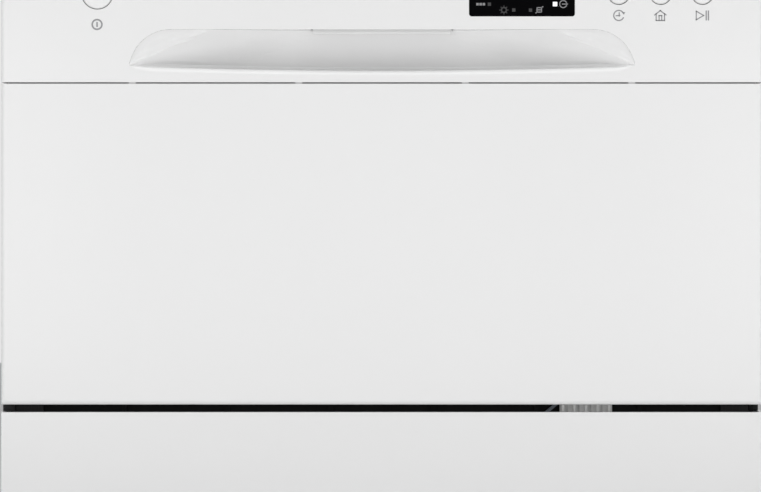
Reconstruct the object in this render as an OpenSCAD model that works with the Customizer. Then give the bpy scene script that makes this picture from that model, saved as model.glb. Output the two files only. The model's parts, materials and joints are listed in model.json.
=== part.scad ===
/* Countertop dishwasher, front loading, with a moulded control fascia.
   Millimetres. The origin is on the counter under the middle of the machine,
   X to the right, Y to the rear and Z up, so the door faces -Y. */

/* [Overall size] */
// Width over the door and the plinth
body_w = 550; // [540:1:570]
// Depth from the door face to the rear edge of the casing
body_d = 500; // [490:1:520]
// Height from the counter to the top of the casing
body_h = 438; // [434:1:446]

/* [Casing] */
// Thickness of the painted steel sheet
sheet_t = 1.2; // [0.8:0.1:1.5]
// How far the casing side stands in from the door side
casing_step = 1; // [0.5:0.1:2]
// Front edge of the casing behind the door face
casing_setback = 46; // [45:1:50]
// Outer radius of the casing top corners
casing_r = 9; // [6:1:14]
// Depth of the connector recess in the rear panel
rear_recess_d = 30; // [24:1:34]
// Height of the connector recess above the base
rear_recess_h = 82; // [74:1:86]

/* [Plinth and base] */
// Height of the plinth top above the counter
plinth_top = 96; // [92:1:98]
// Height of the dark slot between the plinth and the door
slot_h = 5.5; // [5:0.5:7]
// Plinth face behind the door face
plinth_setback = 2; // [1:0.5:4]
// Wall of the plastic plinth
plinth_wall = 2; // [1.5:0.5:3]
// Height of the base tray floor above the counter
base_z = 16; // [14:1:20]
// Wall of the plastic base tray
base_wall = 3; // [2.5:0.5:4]
// Radius of a foot pad
foot_r = 17; // [14:1:20]
// Thread radius of a foot
foot_thread_r = 4; // [3:0.5:5]
// Foot centre in from the side and from the front or rear edge
foot_in = 42; // [38:1:50]
// Spacing of the stiffening ribs seen in the slot
rib_pitch = 75; // [70:1:80]
// Spacing of the ribs of the white harness guide
guide_pitch = 8.4; // [7:0.1:9]
// Middle of the harness guide, right of the centre line
guide_x = 148; // [140:1:156]
// Width of the harness guide
guide_w = 38; // [32:1:44]

/* [Door] */
// Depth of the door from its face to the liner
door_t = 42; // [41:0.5:44]
// Gap between the fascia top and the casing top
top_gap = 4; // [3:0.5:6]
// Height of the control fascia
fascia_h = 100.3; // [98:0.1:102]
// Joint line between the fascia and the steel panel
seam_h = 1; // [0.6:0.1:1.5]
// Steel sheet of the door panel
panel_t = 1; // [0.7:0.1:1.2]
// Wall of the plastic fascia
fascia_wall = 2.5; // [2:0.1:3]
// Radius of the door's lower and side folds
fold_r = 3; // [2.5:0.5:3.5]
// Stainless sheet of the liner and the tub
liner_t = 0.8; // [0.6:0.1:1]
// Depth of the field pressed into the liner
liner_field = 5; // [3:0.5:6]
// Hinge axis behind the door face
hinge_in = 10; // [9.5:0.5:11]
// Hinge axis above the lower edge of the door
hinge_up = 7; // [6.5:0.5:8]
// Radius of the hinge pins
hinge_pin_r = 3; // [2.5:0.5:3.5]
// Thickness of the steel hinge plates
hinge_plate = 3; // [2:0.5:4]
// Length of the lever arm that the door spring pulls
hinge_tail = 38; // [36:1:40]

/* [Handle scoop] */
// Width of the scoop
scoop_w = 365; // [340:1:380]
// Top edge of the scoop above the seam
scoop_top = 38.6; // [36:0.1:40]
// Lower edge of the moulded insert above the seam
scoop_foot = 2.5; // [2:0.5:4]
// Radius of the scoop's upper corners
scoop_r = 30; // [27:1:33]
// How far each slanted end of the scoop reaches in
scoop_run = 30; // [28:0.1:34]
// Slope of the scoop's slanted ends from level, in degrees
scoop_slant = 68; // [50:1:72]
// Greatest depth of the scoop
scoop_d = 24; // [20:1:26]
// Top of the rounded front lip at its lowest point, above the seam
scoop_lip = 9; // [8:0.5:11]
// Radius of the front lip
lip_r = 4.5; // [3:0.1:5]
// How much the lip rises from the middle to its ends
lip_bow = 3.2; // [1:0.1:5]
// Wall of the scoop
scoop_wall = 2.2; // [1.8:0.1:3]
// Width of the release lever
lever_w = 100; // [80:1:110]
// How far the lever hangs below the scoop's top edge
lever_hang = 3; // [2:0.5:5]

/* [Controls] */
// Centre line of the buttons below the fascia top
control_drop = 35.8; // [34:0.1:38]
// Radius of the power button
power_r = 11; // [9:0.5:12]
// Power button left of the centre line
power_x = 205.5; // [200:0.5:212]
// Radius of a function button
button_r = 7.65; // [6:0.05:8.5]
// Spacing of the function buttons
button_pitch = 30.2; // [26:0.1:34]
// Last function button right of the centre line
start_x = 231.3; // [226:0.1:240]
// Clearance round a button
button_gap = 0.5; // [0.3:0.1:0.8]
// Width of the display window
display_w = 76.5; // [60:0.5:80]
// Height of the display window
display_h = 33; // [24:0.5:34]
// Middle of the display window right of the centre line
display_x = 101; // [96:0.5:104]
// Middle of the display window above the buttons' centre line
display_up = 0; // [-1:0.5:1]

/* [Tub] */
// Width of the wash space
tub_w = 480; // [470:1:486]
// Ceiling of the wash space below the top of the machine
tub_top_in = 38; // [36:1:46]
// Floor of the tub above the counter
tub_floor = 132; // [130:1:134]
// Rear wall of the tub in from the rear edge
tub_back_in = 35; // [34:1:44]
// Inner corner radius of the tub
tub_r = 18; // [12:1:24]
// Width of the flange round the mouth
flange_w = 15; // [12:1:16]
// Thickness of the rubber door seal
seal_t = 2.5; // [2:0.1:2.7]
// Running clearance between pieces that move past each other
run_gap = 0.3; // [0.2:0.05:0.4]

/* [Rack] */
// Width of the rack over its rim
rack_w = 428; // [410:1:432]
// Depth of the rack over its rim
rack_d = 352; // [330:1:356]
// Height of the rack from its floor to its rim
rack_h = 70; // [62:1:72]
// Radius of the rack wire
wire_r = 2; // [1.5:0.1:2.2]
// Spacing of the floor wires
wire_pitch = 38; // [34:1:46]
// Spacing of the plate tines
tine_pitch = 24; // [22:1:30]
// Height of the plate tines
tine_h = 62; // [50:1:70]
// Radius of a rack wheel
wheel_r = 12.5; // [11:0.5:13]
// Width of a rack wheel
wheel_t = 8; // [6:0.5:9]

/* [Water parts] */
// Length of the spray arm
arm_l = 372; // [340:1:376]
// Thickness of the spray arm
arm_t = 9; // [8:0.5:11]
// Radius of the filter cup
filter_r = 30; // [26:1:34]
// Radius of the salt cap
salt_r = 26; // [22:1:28]
// Radius of the overflow float
float_r = 15; // [12:1:17]
// Radius of the inlet thread, three quarters of an inch
inlet_r = 13.2; // [13:0.1:13.4]
// Radius of the drain spigot
drain_r = 9.5; // [8:0.5:11]

/* [Hidden] */
$fn = 48;

// Faces and edges of the whole machine
half_w = body_w / 2;
y_face = -body_d / 2;
y_rear = body_d / 2;
y_front = y_face + casing_setback;
case_w = body_w - 2 * casing_step;
flange_top = 8;
z_slot = plinth_top + slot_h;
z_door_top = body_h - top_gap;
z_seam = z_door_top - fascia_h;

// Hinge axis and the liner plane behind it
y_hinge = y_face + hinge_in;
z_hinge = z_slot + hinge_up;
y_liner = y_face + door_t;

// Tub
tub_hw = tub_w / 2;
y_back = y_rear - tub_back_in;
z_ceiling = body_h - tub_top_in;
y_mid = (y_front + y_back) / 2;
frame_y = y_front - sheet_t;

// Hinge parts, from the door's side inwards
bracket_x = case_w / 2 - sheet_t - run_gap - base_wall - hinge_plate;
arm_x = bracket_x - 1 - hinge_plate;
tail_r = 5;
anchor_y = 150;
anchor_drop = 64;
spring_l = norm([anchor_y, anchor_drop]);
spring_tilt = atan2(anchor_drop, anchor_y);

// Control fascia
z_control = z_door_top - control_drop;
z_display = z_control + display_up;
z_scoop_top = z_seam + scoop_top;
z_scoop_foot = z_seam + scoop_foot;
z_lip = z_seam + scoop_lip;
scoop_cx = scoop_w / 2 - scoop_run;
scoop_cz = z_scoop_top - scoop_r;
scoop_er = 4;
scoop_ex = scoop_w / 2 - scoop_er;
scoop_ez = scoop_cz + (scoop_r - scoop_er - (scoop_ex - scoop_cx) * sin(scoop_slant))
  / cos(scoop_slant);
lever_y = y_face + 11;
lever_z = z_scoop_top + 18;
hook_y = y_face + 18;
hook_z = z_door_top - 14;

// Rack and its running gear
rack_front_in = 30;
y_rack = y_liner + rack_front_in;
z_rack = z_hinge + 72;
z_wheel = z_hinge + (y_liner - y_hinge) + 0.8 + wheel_r;
wheel_y1 = y_rack + 112;
wheel_y2 = y_rack + rack_d - 40;
wheel_x = rack_w / 2 + wire_r + 1.5 + wheel_t / 2;
z_rail = z_wheel - wheel_r - 0.3;

// Middle of the dispenser in the liner
z_disp = z_scoop_foot - 42;

tine_rows = [-150, -100, -20, 30];

// Water parts on the tub floor
z_arm = z_rack - 22;
filter_x = 96;
filter_y = -96;
salt_x = -120;
float_x = 178;
float_y = -118;

// A box between two corners
module span(x0, x1, y0, y1, z0, z1) {
  translate([x0, y0, z0]) cube([x1 - x0, y1 - y0, z1 - z0]);
}

// An outline drawn in X and Z, given a thickness along Y from y0
module in_xz(y0, t) {
  translate([0, y0 + t, 0]) rotate([90, 0, 0]) linear_extrude(t) children();
}

// An outline drawn in Y and Z, given a thickness along X from x0
module in_yz(x0, t) {
  translate([x0, 0, 0]) rotate([90, 0, 90]) linear_extrude(t) children();
}

// A rectangle between two corners with rounded corners
module round_box(x0, x1, z0, z1, r) {
  translate([x0 + r, z0]) square([x1 - x0 - 2 * r, z1 - z0]);
  translate([x0, z0 + r]) square([x1 - x0, z1 - z0 - 2 * r]);
  for (x = [x0 + r, x1 - r], z = [z0 + r, z1 - r]) translate([x, z]) circle(r);
}

// A rectangle whose two upper corners are rounded
module arch_box(x0, x1, z0, z1, r) {
  translate([x0 + r, z0]) square([x1 - x0 - 2 * r, z1 - z0]);
  translate([x0, z0]) square([x1 - x0, z1 - z0 - r]);
  for (x = [x0 + r, x1 - r]) translate([x, z1 - r]) circle(r);
}

// The same piece on both sides
module both_sides() {
  children();
  mirror([1, 0, 0]) children();
}

// Round bars along each direction, from a start point
module bar_x(x0, x1, y, z, r) {
  translate([x0, y, z]) rotate([0, 90, 0]) cylinder(r = r, h = x1 - x0);
}
module bar_y(x, y0, y1, z, r) {
  translate([x, y0, z]) rotate([-90, 0, 0]) cylinder(r = r, h = y1 - y0);
}
module bar_z(x, y, z0, z1, r) {
  translate([x, y, z0]) cylinder(r = r, h = z1 - z0);
}

// Black plastic tray that carries everything, with the ribbed beam seen in the slot
module base_tray() {
  x1 = case_w / 2 - sheet_t - run_gap;
  yb = y_rear - rear_recess_d - 6;
  beam_y = y_hinge + 18.5;
  beam_top = z_slot - 0.6;
  beam_x = bracket_x - run_gap;
  color([0.08, 0.08, 0.09]) {
    difference() {
      union() {
        span(-x1, x1, beam_y, yb, base_z, base_z + base_wall);
        span(-beam_x, beam_x, beam_y, beam_y + base_wall, base_z, beam_top);
        span(-x1, x1, yb - base_wall, yb, base_z, base_z + 24);
        for (x = [-x1, x1 - base_wall]) span(x, x + base_wall, beam_y, yb, base_z, plinth_top - 6);
        for (i = [-2.5:2.5]) if (abs(i * rib_pitch - guide_x) > guide_w / 2 + 4)
          span(i * rib_pitch - 1.5, i * rib_pitch + 1.5, beam_y - 4, beam_y, base_z, beam_top);
        for (sx = [-1, 1], y = [y_front + foot_in, yb - foot_in])
          bar_z(sx * (half_w - foot_in), y, base_z, base_z + 22, foot_thread_r + 5);
      }
      for (sx = [-1, 1], y = [y_front + foot_in, yb - foot_in])
        bar_z(sx * (half_w - foot_in), y, base_z - 1, base_z + 23, foot_thread_r + 0.2);
    }
  }
}

// Plain white kick panel with folded sides and a lower return
module plinth_panel() {
  y0 = y_face + plinth_setback;
  color([0.93, 0.93, 0.93]) difference() {
    span(-half_w, half_w, y0, y_front, base_z, plinth_top);
    span(-half_w + plinth_wall, half_w - plinth_wall, y0 + plinth_wall, y_front + 1,
      base_z - 1, plinth_top - plinth_wall);
    span(-half_w + plinth_wall, half_w - plinth_wall, y0 + plinth_wall + 8, y_front + 1,
      base_z - 1, plinth_top + 1);
  }
}

// Painted steel wrapper: two sides and the top in one bend
module outer_casing() {
  color([0.92, 0.92, 0.92]) in_xz(y_front, y_rear - y_front) difference() {
    arch_box(-case_w / 2, case_w / 2, base_z + 2, body_h, casing_r);
    arch_box(-case_w / 2 + sheet_t, case_w / 2 - sheet_t, base_z, body_h - sheet_t,
      casing_r - sheet_t);
  }
}

// Rear sheet with pressed ribs and a recess for the hose and mains connections
module rear_panel() {
  x1 = case_w / 2 - sheet_t;
  y1 = y_rear - 2;
  zr = base_z + rear_recess_h;
  yr = y_rear - rear_recess_d;
  inlet_z = base_z + 46;
  color([0.8, 0.8, 0.8]) difference() {
    union() {
      span(-x1, x1, y1 - sheet_t, y1, zr, body_h - casing_r);
      span(-x1 + casing_r, x1 - casing_r, y1 - sheet_t, y1, body_h - casing_r, body_h - sheet_t);
      span(-x1, x1, yr, y1, zr, zr + sheet_t);
      span(-x1, x1, yr - sheet_t, yr, base_z + 2, zr + sheet_t);
      for (i = [-2:2]) in_xz(y1, 1.5) round_box(i * 90 - 28, i * 90 + 28, zr + 50, body_h - 60, 8);
    }
    bar_y(-150, yr - 3, yr + 2, inlet_z, inlet_r + 1.2);
    bar_y(-90, yr - 3, yr + 2, inlet_z, drain_r + 0.3);
    bar_y(150, yr - 3, yr + 2, inlet_z, 11.3);
    for (i = [0:15]) span(i * 8 - 60, i * 8 - 57, yr - 3, yr + 1, base_z + 26, base_z + 56);
  }
}

// Stainless tub walls: sides, top and rear with the flange round the mouth
module tub() {
  z0 = tub_floor - liner_t;
  color([0.75, 0.76, 0.78]) difference() {
    union() {
      in_xz(y_front, liner_t)
        round_box(-tub_hw - flange_w, tub_hw + flange_w, z0 - flange_w / 2 + 2,
          z_ceiling + flange_top, tub_r);
      in_xz(y_front, y_back - y_front + liner_t)
        round_box(-tub_hw - liner_t, tub_hw + liner_t, z0, z_ceiling + liner_t, tub_r + liner_t);
    }
    in_xz(y_front - 1, y_back - y_front + 1)
      round_box(-tub_hw, tub_hw, tub_floor, z_ceiling, tub_r);
    span(-tub_hw + tub_r, tub_hw - tub_r, y_front + liner_t, y_back, z0 - 1, tub_floor + 1);
  }
}

// Floor sheet of the tub with the holes for the water parts
module tub_base() {
  z0 = tub_floor - liner_t;
  color([0.75, 0.76, 0.78]) difference() {
    span(-tub_hw + tub_r, tub_hw - tub_r, y_front + liner_t, y_back, z0, tub_floor);
    bar_z(filter_x, filter_y, z0 - 2, tub_floor + 2, filter_r + 4);
    bar_z(0, y_mid, z0 - 2, tub_floor + 2, 14);
    bar_z(salt_x, filter_y, z0 - 2, tub_floor + 2, salt_r + 2);
    bar_z(float_x, float_y, z0 - 2, tub_floor + 2, 6);
  }
}

// Rubber bulb seal round the mouth
module tub_seal() {
  xo = tub_hw + flange_w - 3;
  zo = z_ceiling + flange_top;
  zi = tub_floor - 7;
  color([0.2, 0.2, 0.21]) in_xz(frame_y - seal_t, seal_t) difference() {
    round_box(-xo, xo, zi, zo, tub_r);
    round_box(-xo + 7, xo - 7, zi + 7, zo - 7, tub_r - 6);
  }
}

// Painted front frame between the casing and the tub mouth
module front_frame() {
  x1 = case_w / 2;
  color([0.88, 0.88, 0.88]) difference() {
    in_xz(frame_y, sheet_t) difference() {
      arch_box(-x1, x1, z_slot - 3, body_h, casing_r);
      round_box(-tub_hw, tub_hw, tub_floor, z_ceiling, tub_r);
    }
    both_sides() span(arm_x - 2, arm_x + hinge_plate + 2, frame_y - 1, y_front + 1,
      z_hinge - 9, z_hinge + 26);
  }
}

// Folded rail that a row of rack wheels rolls on, standing on the tub floor
module rack_rail() {
  x1 = wheel_x - wheel_t / 2 - 0.8;
  y0 = y_front + 6;
  y1 = y_back - 12;
  rail_w = 19.8;
  rail_t = 1.2;
  color([0.7, 0.71, 0.73]) difference() {
    union() {
      span(x1, x1 + rail_w, y0, y1, z_rail - rail_t, z_rail);
      span(x1, x1 + rail_t, y0, y1, tub_floor, z_rail);
    }
    for (y = [y0 + 18:62:y1 - 50]) span(x1 - 1, x1 + 2, y, y + 44, tub_floor - 1, tub_floor + 4.5);
  }
}
module rack_rail_right() { rack_rail(); }
module rack_rail_left() { mirror([1, 0, 0]) rack_rail(); }

// Bracket bolted to the tray, with an eye round the hinge pin
module hinge_bracket() {
  color([0.6, 0.61, 0.63]) in_yz(bracket_x, hinge_plate) difference() {
    union() {
      translate([y_hinge, z_hinge]) circle(hinge_up - 0.2);
      translate([y_hinge, z_hinge - 4]) square([24, 8]);
      translate([y_hinge + 14, base_z + base_wall]) square([10, z_hinge - base_z - base_wall + 4]);
      translate([y_hinge + 21.5, base_z + base_wall]) square([60, 22]);
    }
    translate([y_hinge, z_hinge]) circle(hinge_pin_r + 0.06);
    for (d = [34, 66]) translate([y_hinge + d, base_z + base_wall + 11]) circle(2.2);
  }
}
module hinge_bracket_right() { hinge_bracket(); }
module hinge_bracket_left() { mirror([1, 0, 0]) hinge_bracket(); }

// Closed-coil extension spring from the hinge tail to its anchor on the tray
module door_spring() {
  x = arm_x + hinge_plate / 2;
  color([0.55, 0.56, 0.58]) translate([x, y_hinge + hinge_tail, z_hinge])
    rotate([-90 - spring_tilt, 0, 0]) translate([0, 0, tail_r]) union() {
      cylinder(r = 1, h = 12);
      translate([0, 0, 10]) cylinder(r = 5, h = spring_l - 24 - tail_r);
      translate([0, 0, spring_l - 15 - tail_r]) cylinder(r = 1, h = 15);
    }
}
module door_spring_right() { door_spring(); }
module door_spring_left() { mirror([1, 0, 0]) door_spring(); }

// Moulded sump under the filter, with ports to the pumps
module sump() {
  z0 = base_z + base_wall + 12;
  color([0.3, 0.31, 0.33]) difference() {
    union() {
      bar_z(filter_x, filter_y, tub_floor - liner_t - 3, tub_floor - liner_t, filter_r + 14);
      bar_z(filter_x, filter_y, z0, tub_floor - liner_t, filter_r + 7);
      bar_x(filter_x - filter_r - 40, filter_x, filter_y, z0 + 26, 13);
      bar_y(filter_x, filter_y, filter_y + filter_r + 34, z0 + 16, 10);
    }
    bar_z(filter_x, filter_y, z0 + 3, tub_floor + 1, filter_r + 4);
  }
}

// Bearing post of the spray arm, fed from the wash pump
module spray_hub() {
  color([0.25, 0.26, 0.28]) difference() {
    union() {
      bar_z(0, y_mid, tub_floor - 40, tub_floor - liner_t, 13.6);
      bar_z(0, y_mid, tub_floor - liner_t, z_arm - 0.3, 13.6);
      bar_z(0, y_mid, z_arm - 1, z_arm + arm_t + 1.5, 7.5);
      bar_z(0, y_mid, tub_floor - 24, tub_floor - liner_t, 24);
    }
    bar_z(0, y_mid, tub_floor - 37, z_arm + 2, 5.5);
  }
}

// Circulation pump with its volute and motor, lying under the tub
module wash_pump() {
  z = base_z + base_wall + 38;
  x = filter_x - filter_r - 40;
  color([0.2, 0.2, 0.22]) union() {
    bar_x(x - 34, x, filter_y, z, 33);
    bar_x(x - 46, x - 34, filter_y, z, 27);
    bar_x(x - 126, x - 46, filter_y, z, 30);
    bar_y(x - 17, filter_y, filter_y + 62, z + 20, 11);
    span(x - 110, x - 60, filter_y - 24, filter_y + 24, base_z + base_wall, z);
  }
}

// Small synchronous drain pump
module drain_pump() {
  z = base_z + base_wall + 28;
  y = filter_y + filter_r + 34;
  color([0.86, 0.86, 0.84]) union() {
    bar_y(filter_x, y, y + 24, z, 24);
    bar_y(filter_x, y + 24, y + 66, z, 19);
    span(filter_x - 20, filter_x + 20, y + 28, y + 62, base_z + base_wall, z);
    bar_x(filter_x - 54, filter_x, y + 12, z + 14, 8);
  }
}

// Tubular heater loop just above the tub floor, with feet
module heater() {
  r = 62;
  color([0.5, 0.51, 0.53]) translate([0, y_mid, tub_floor + 7]) union() {
    rotate_extrude(angle = 300) translate([r, 0]) circle(3.4);
    for (a = [75, 150, 225]) rotate(a) translate([r - 4, -3, -7]) cube([8, 6, 7]);
    for (a = [0, 300]) rotate(a) translate([r - 6, -7, -7]) cube([12, 14, 12]);
  }
}

// Ion exchange tank of the water softener, with the salt filler in the tub floor
module water_softener() {
  z0 = base_z + base_wall;
  color([0.9, 0.9, 0.88]) difference() {
    union() {
      span(salt_x - 62, salt_x + 42, y_mid - 26, y_mid + 92, z0, tub_floor - 26);
      bar_z(salt_x, filter_y, z0 + 76, tub_floor + 3, salt_r + 1.6);
      span(salt_x - 62, salt_x - 16, filter_y - 10, y_mid - 26, z0 + 78, tub_floor - 26);
    }
    bar_z(salt_x, filter_y, z0 + 80, tub_floor + 4, salt_r - 2.6);
  }
}

// Solenoid inlet valve with its three quarter inch thread through the rear recess
module inlet_valve() {
  yr = y_rear - rear_recess_d;
  z = base_z + 46;
  color([0.88, 0.88, 0.86]) difference() {
    union() {
      bar_y(-150, yr - 34, yr - sheet_t - 0.1, z, 17);
      bar_y(-150, yr - 34, yr + 22, z, inlet_r);
      span(-166, -134, yr - 34, yr - 12, base_z + base_wall + 6, z);
      bar_z(-150, yr - 22, z, z + 24, 12);
    }
    bar_y(-150, yr - 12, yr + 23, z, 8);
  }
}

// Ribbed spigot that the drain hose pushes onto
module drain_outlet() {
  yr = y_rear - rear_recess_d;
  z = base_z + 46;
  color([0.12, 0.12, 0.13]) difference() {
    union() {
      bar_y(-90, yr - 30, yr + 1, z, drain_r - 0.5);
      bar_y(-90, yr - 4 - sheet_t, yr - sheet_t, z, drain_r + 5);
      bar_y(-90, yr + 0.1, yr + 2.1, z, drain_r + 3);
      bar_y(-90, yr + 2, yr + 24, z, drain_r);
    }
    bar_y(-90, yr - 31, yr + 25, z, drain_r - 2.5);
  }
}

// Plain round cable gland for the mains lead
module power_inlet() {
  yr = y_rear - rear_recess_d;
  z = base_z + 46;
  color([0.1, 0.1, 0.11]) difference() {
    union() {
      bar_y(150, yr - 12, yr + 14, z, 11);
      bar_y(150, yr, yr + 4, z, 15);
      bar_y(150, yr - 6 - sheet_t, yr - sheet_t, z, 15);
    }
    bar_y(150, yr - 13, yr + 15, z, 4);
  }
}

// Ribbed white cable guide clipped to the front beam, seen in the slot
module harness_guide() {
  beam_y = y_hinge + 18.5;
  top = z_slot - 0.6;
  n = floor((guide_w - 1.6) / guide_pitch);
  color([0.82, 0.82, 0.82]) union() {
    span(guide_x - guide_w / 2, guide_x + guide_w / 2, beam_y - 4, beam_y, base_z + 40, top);
    for (i = [0:n])
      span(guide_x - n * guide_pitch / 2 + i * guide_pitch - 0.8,
        guide_x - n * guide_pitch / 2 + i * guide_pitch + 0.8, beam_y - 9.4, beam_y - 4,
        z_slot - 22, top);
    span(guide_x - guide_w / 2, guide_x + guide_w / 2, beam_y - 9.4, beam_y - 4,
      z_slot - 22, z_slot - 19.5);
  }
}

// Steel keeper that reaches from the front frame into the door for the hook
module latch_strike() {
  y0 = frame_y - 14.3;
  z0 = hook_z + 3.8;
  color([0.6, 0.61, 0.63]) union() {
    span(-16, 16, frame_y - 1.2, frame_y, hook_z - 1, hook_z + 9.5);
    for (x = [-12.5, 10]) span(x, x + 2.5, y0, frame_y - 1, z0, z0 + 3);
    span(-12.5, 12.5, y0, y0 + 3, z0, z0 + 3);
  }
}

// Fixed moulded feet at the rear
module rear_feet() {
  yb = y_rear - rear_recess_d - 6;
  color([0.1, 0.1, 0.11]) for (sx = [-1, 1]) translate([sx * (half_w - foot_in), yb - foot_in, 0])
    union() {
      cylinder(r = foot_r, h = 4);
      translate([0, 0, 4]) cylinder(r1 = foot_r, r2 = foot_r - 4, h = 6);
      translate([0, 0, 10]) cylinder(r = foot_r - 4, h = base_z - 10);
      cylinder(r = foot_thread_r, h = base_z + 18);
    }
}

// Screw feet at the front: a hexagon pad on a threaded stem
module front_foot(side) {
  color([0.1, 0.1, 0.11]) translate([side * (half_w - foot_in), y_front + foot_in, 0]) union() {
    cylinder(r = foot_r, h = 4);
    translate([0, 0, 4]) cylinder(r = foot_r - 3, h = 6, $fn = 6);
    cylinder(r = foot_thread_r, h = base_z + 18);
  }
}
module front_foot_left() { front_foot(-1); }
module front_foot_right() { front_foot(1); }

// Long arched spray arm with jets along its top
module spray_arm() {
  r = arm_l / 2;
  color([0.72, 0.73, 0.75]) translate([0, y_mid, z_arm]) difference() {
    union() {
      for (s = [0, 180]) rotate(s) {
        linear_extrude(arm_t) polygon([[0, -17], [r - 18, -12], [r - 18, 12], [0, 17]]);
        translate([r - 18, 0, 0]) cylinder(r = 12, h = arm_t);
      }
      cylinder(r = 24, h = arm_t);
      translate([0, 0, arm_t]) cylinder(r1 = 19, r2 = 15, h = 3);
    }
    translate([0, 0, -1]) cylinder(r = 7.8, h = arm_t + 5);
    for (s = [0, 180], i = [2:7]) rotate(s)
      translate([i * (r - 20) / 7.4, (i % 2 == 0 ? 5 : -5), arm_t - 2]) cylinder(r = 1.6, h = 3);
  }
}

// Filter cup with a ribbed rim and a lifting bridge
module filter_cup() {
  z0 = base_z + base_wall + 24;
  color([0.35, 0.36, 0.38]) translate([filter_x, filter_y, 0]) union() {
    difference() {
      bar_z(0, 0, z0, tub_floor + 1.2, filter_r);
      bar_z(0, 0, z0 + 2.4, tub_floor + 2.4, filter_r - 2.4);
      for (a = [0:30:330]) rotate(a) span(filter_r - 6, filter_r + 2, -3.4, 3.4, z0 + 10,
        tub_floor - 12);
    }
    difference() {
      bar_z(0, 0, tub_floor + 0.3, tub_floor + 3, filter_r + 6);
      bar_z(0, 0, tub_floor - 1, tub_floor + 4, filter_r - 2.4);
    }
    span(-filter_r + 2, filter_r - 2, -2.5, 2.5, tub_floor + 0.3, tub_floor + 5);
  }
}

// Screw cap of the salt filler
module salt_cap() {
  color([0.15, 0.35, 0.6]) translate([salt_x, filter_y, 0]) union() {
    bar_z(0, 0, tub_floor - 10, tub_floor + 3.3, salt_r - 3);
    bar_z(0, 0, tub_floor + 3.3, tub_floor + 8, salt_r);
    span(-salt_r + 6, salt_r - 6, -3, 3, tub_floor + 8, tub_floor + 13);
  }
}

// Float that lifts when the tub overfills
module float_cap() {
  color([0.9, 0.9, 0.9]) translate([float_x, float_y, 0]) difference() {
    union() {
      bar_z(0, 0, tub_floor - 22, tub_floor + 1, 5.6);
      bar_z(0, 0, tub_floor + 0.4, tub_floor + 12, float_r);
    }
    bar_z(0, 0, tub_floor - 23, tub_floor + 8, 3);
  }
}

// Painted steel door panel: plain face, rounded folds and a short lower return
module door_outer_panel() {
  y1 = y_liner - liner_t;
  top = z_seam - seam_h / 2;
  color([0.93, 0.93, 0.93]) difference() {
    intersection() {
      in_yz(-half_w, body_w) union() {
        translate([y_face + fold_r, z_slot]) square([y1 - y_face - fold_r, top - z_slot]);
        translate([y_face, z_slot + fold_r]) square([y1 - y_face, top - z_slot - fold_r]);
        translate([y_face + fold_r, z_slot + fold_r]) circle(fold_r);
      }
      translate([0, 0, z_slot - 1]) linear_extrude(top - z_slot + 2) door_plan(0);
    }
    intersection() {
      in_yz(-half_w, body_w) union() {
        translate([y_face + fold_r, z_slot + panel_t])
          square([y1 - y_face - fold_r + 1, top - z_slot + 1]);
        translate([y_face + panel_t, z_slot + fold_r]) square([y1 - y_face + 1, top - z_slot + 1]);
        translate([y_face + fold_r, z_slot + fold_r]) circle(fold_r - panel_t);
      }
      translate([0, 0, z_slot - 2]) linear_extrude(top - z_slot + 4) door_plan(panel_t);
    }
    span(-half_w - 1, half_w + 1, y_hinge + 14, y1 + 1, z_slot - 1, z_slot + panel_t + 0.01);
    both_sides() span(arm_x - 4, bracket_x + hinge_plate + 1, y_face + fold_r, y1, z_slot - 1,
      z_slot + panel_t + 0.01);
  }
}

// Plan outline of the door with rounded front edges, drawn in by a wall
module door_plan(wall) {
  w = half_w - wall;
  r = fold_r - wall;
  yf = y_face + wall;
  translate([-w, yf + r]) square([2 * w, y_liner - yf - r]);
  translate([-w + r, yf]) square([2 * (w - r), y_liner - yf]);
  for (x = [-w + r, w - r]) translate([x, yf + r]) circle(r);
}

// Front view of the opening in the fascia that the handle scoop fills
module scoop_outline(gap) {
  n = [sin(scoop_slant), cos(scoop_slant)];
  half = scoop_w / 2;
  both_sides() {
    translate([0, z_scoop_foot]) square([half, scoop_ez - z_scoop_foot + 0.02]);
    polygon([[0, scoop_ez], [0, z_scoop_top + gap], [scoop_cx, z_scoop_top + gap],
      [scoop_cx, scoop_cz] + (scoop_r + gap) * n, [scoop_ex, scoop_ez] + (scoop_er + gap) * n,
      [scoop_ex, scoop_ez]]);
    translate([scoop_cx, scoop_cz]) intersection() {
      circle(scoop_r + gap);
      translate([0, scoop_ez - scoop_cz]) square(scoop_r + gap);
    }
    translate([scoop_ex, scoop_ez]) intersection() {
      circle(scoop_er + gap);
      translate([0, -0.01]) square(scoop_er + gap + 0.01);
    }
  }
}

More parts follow.
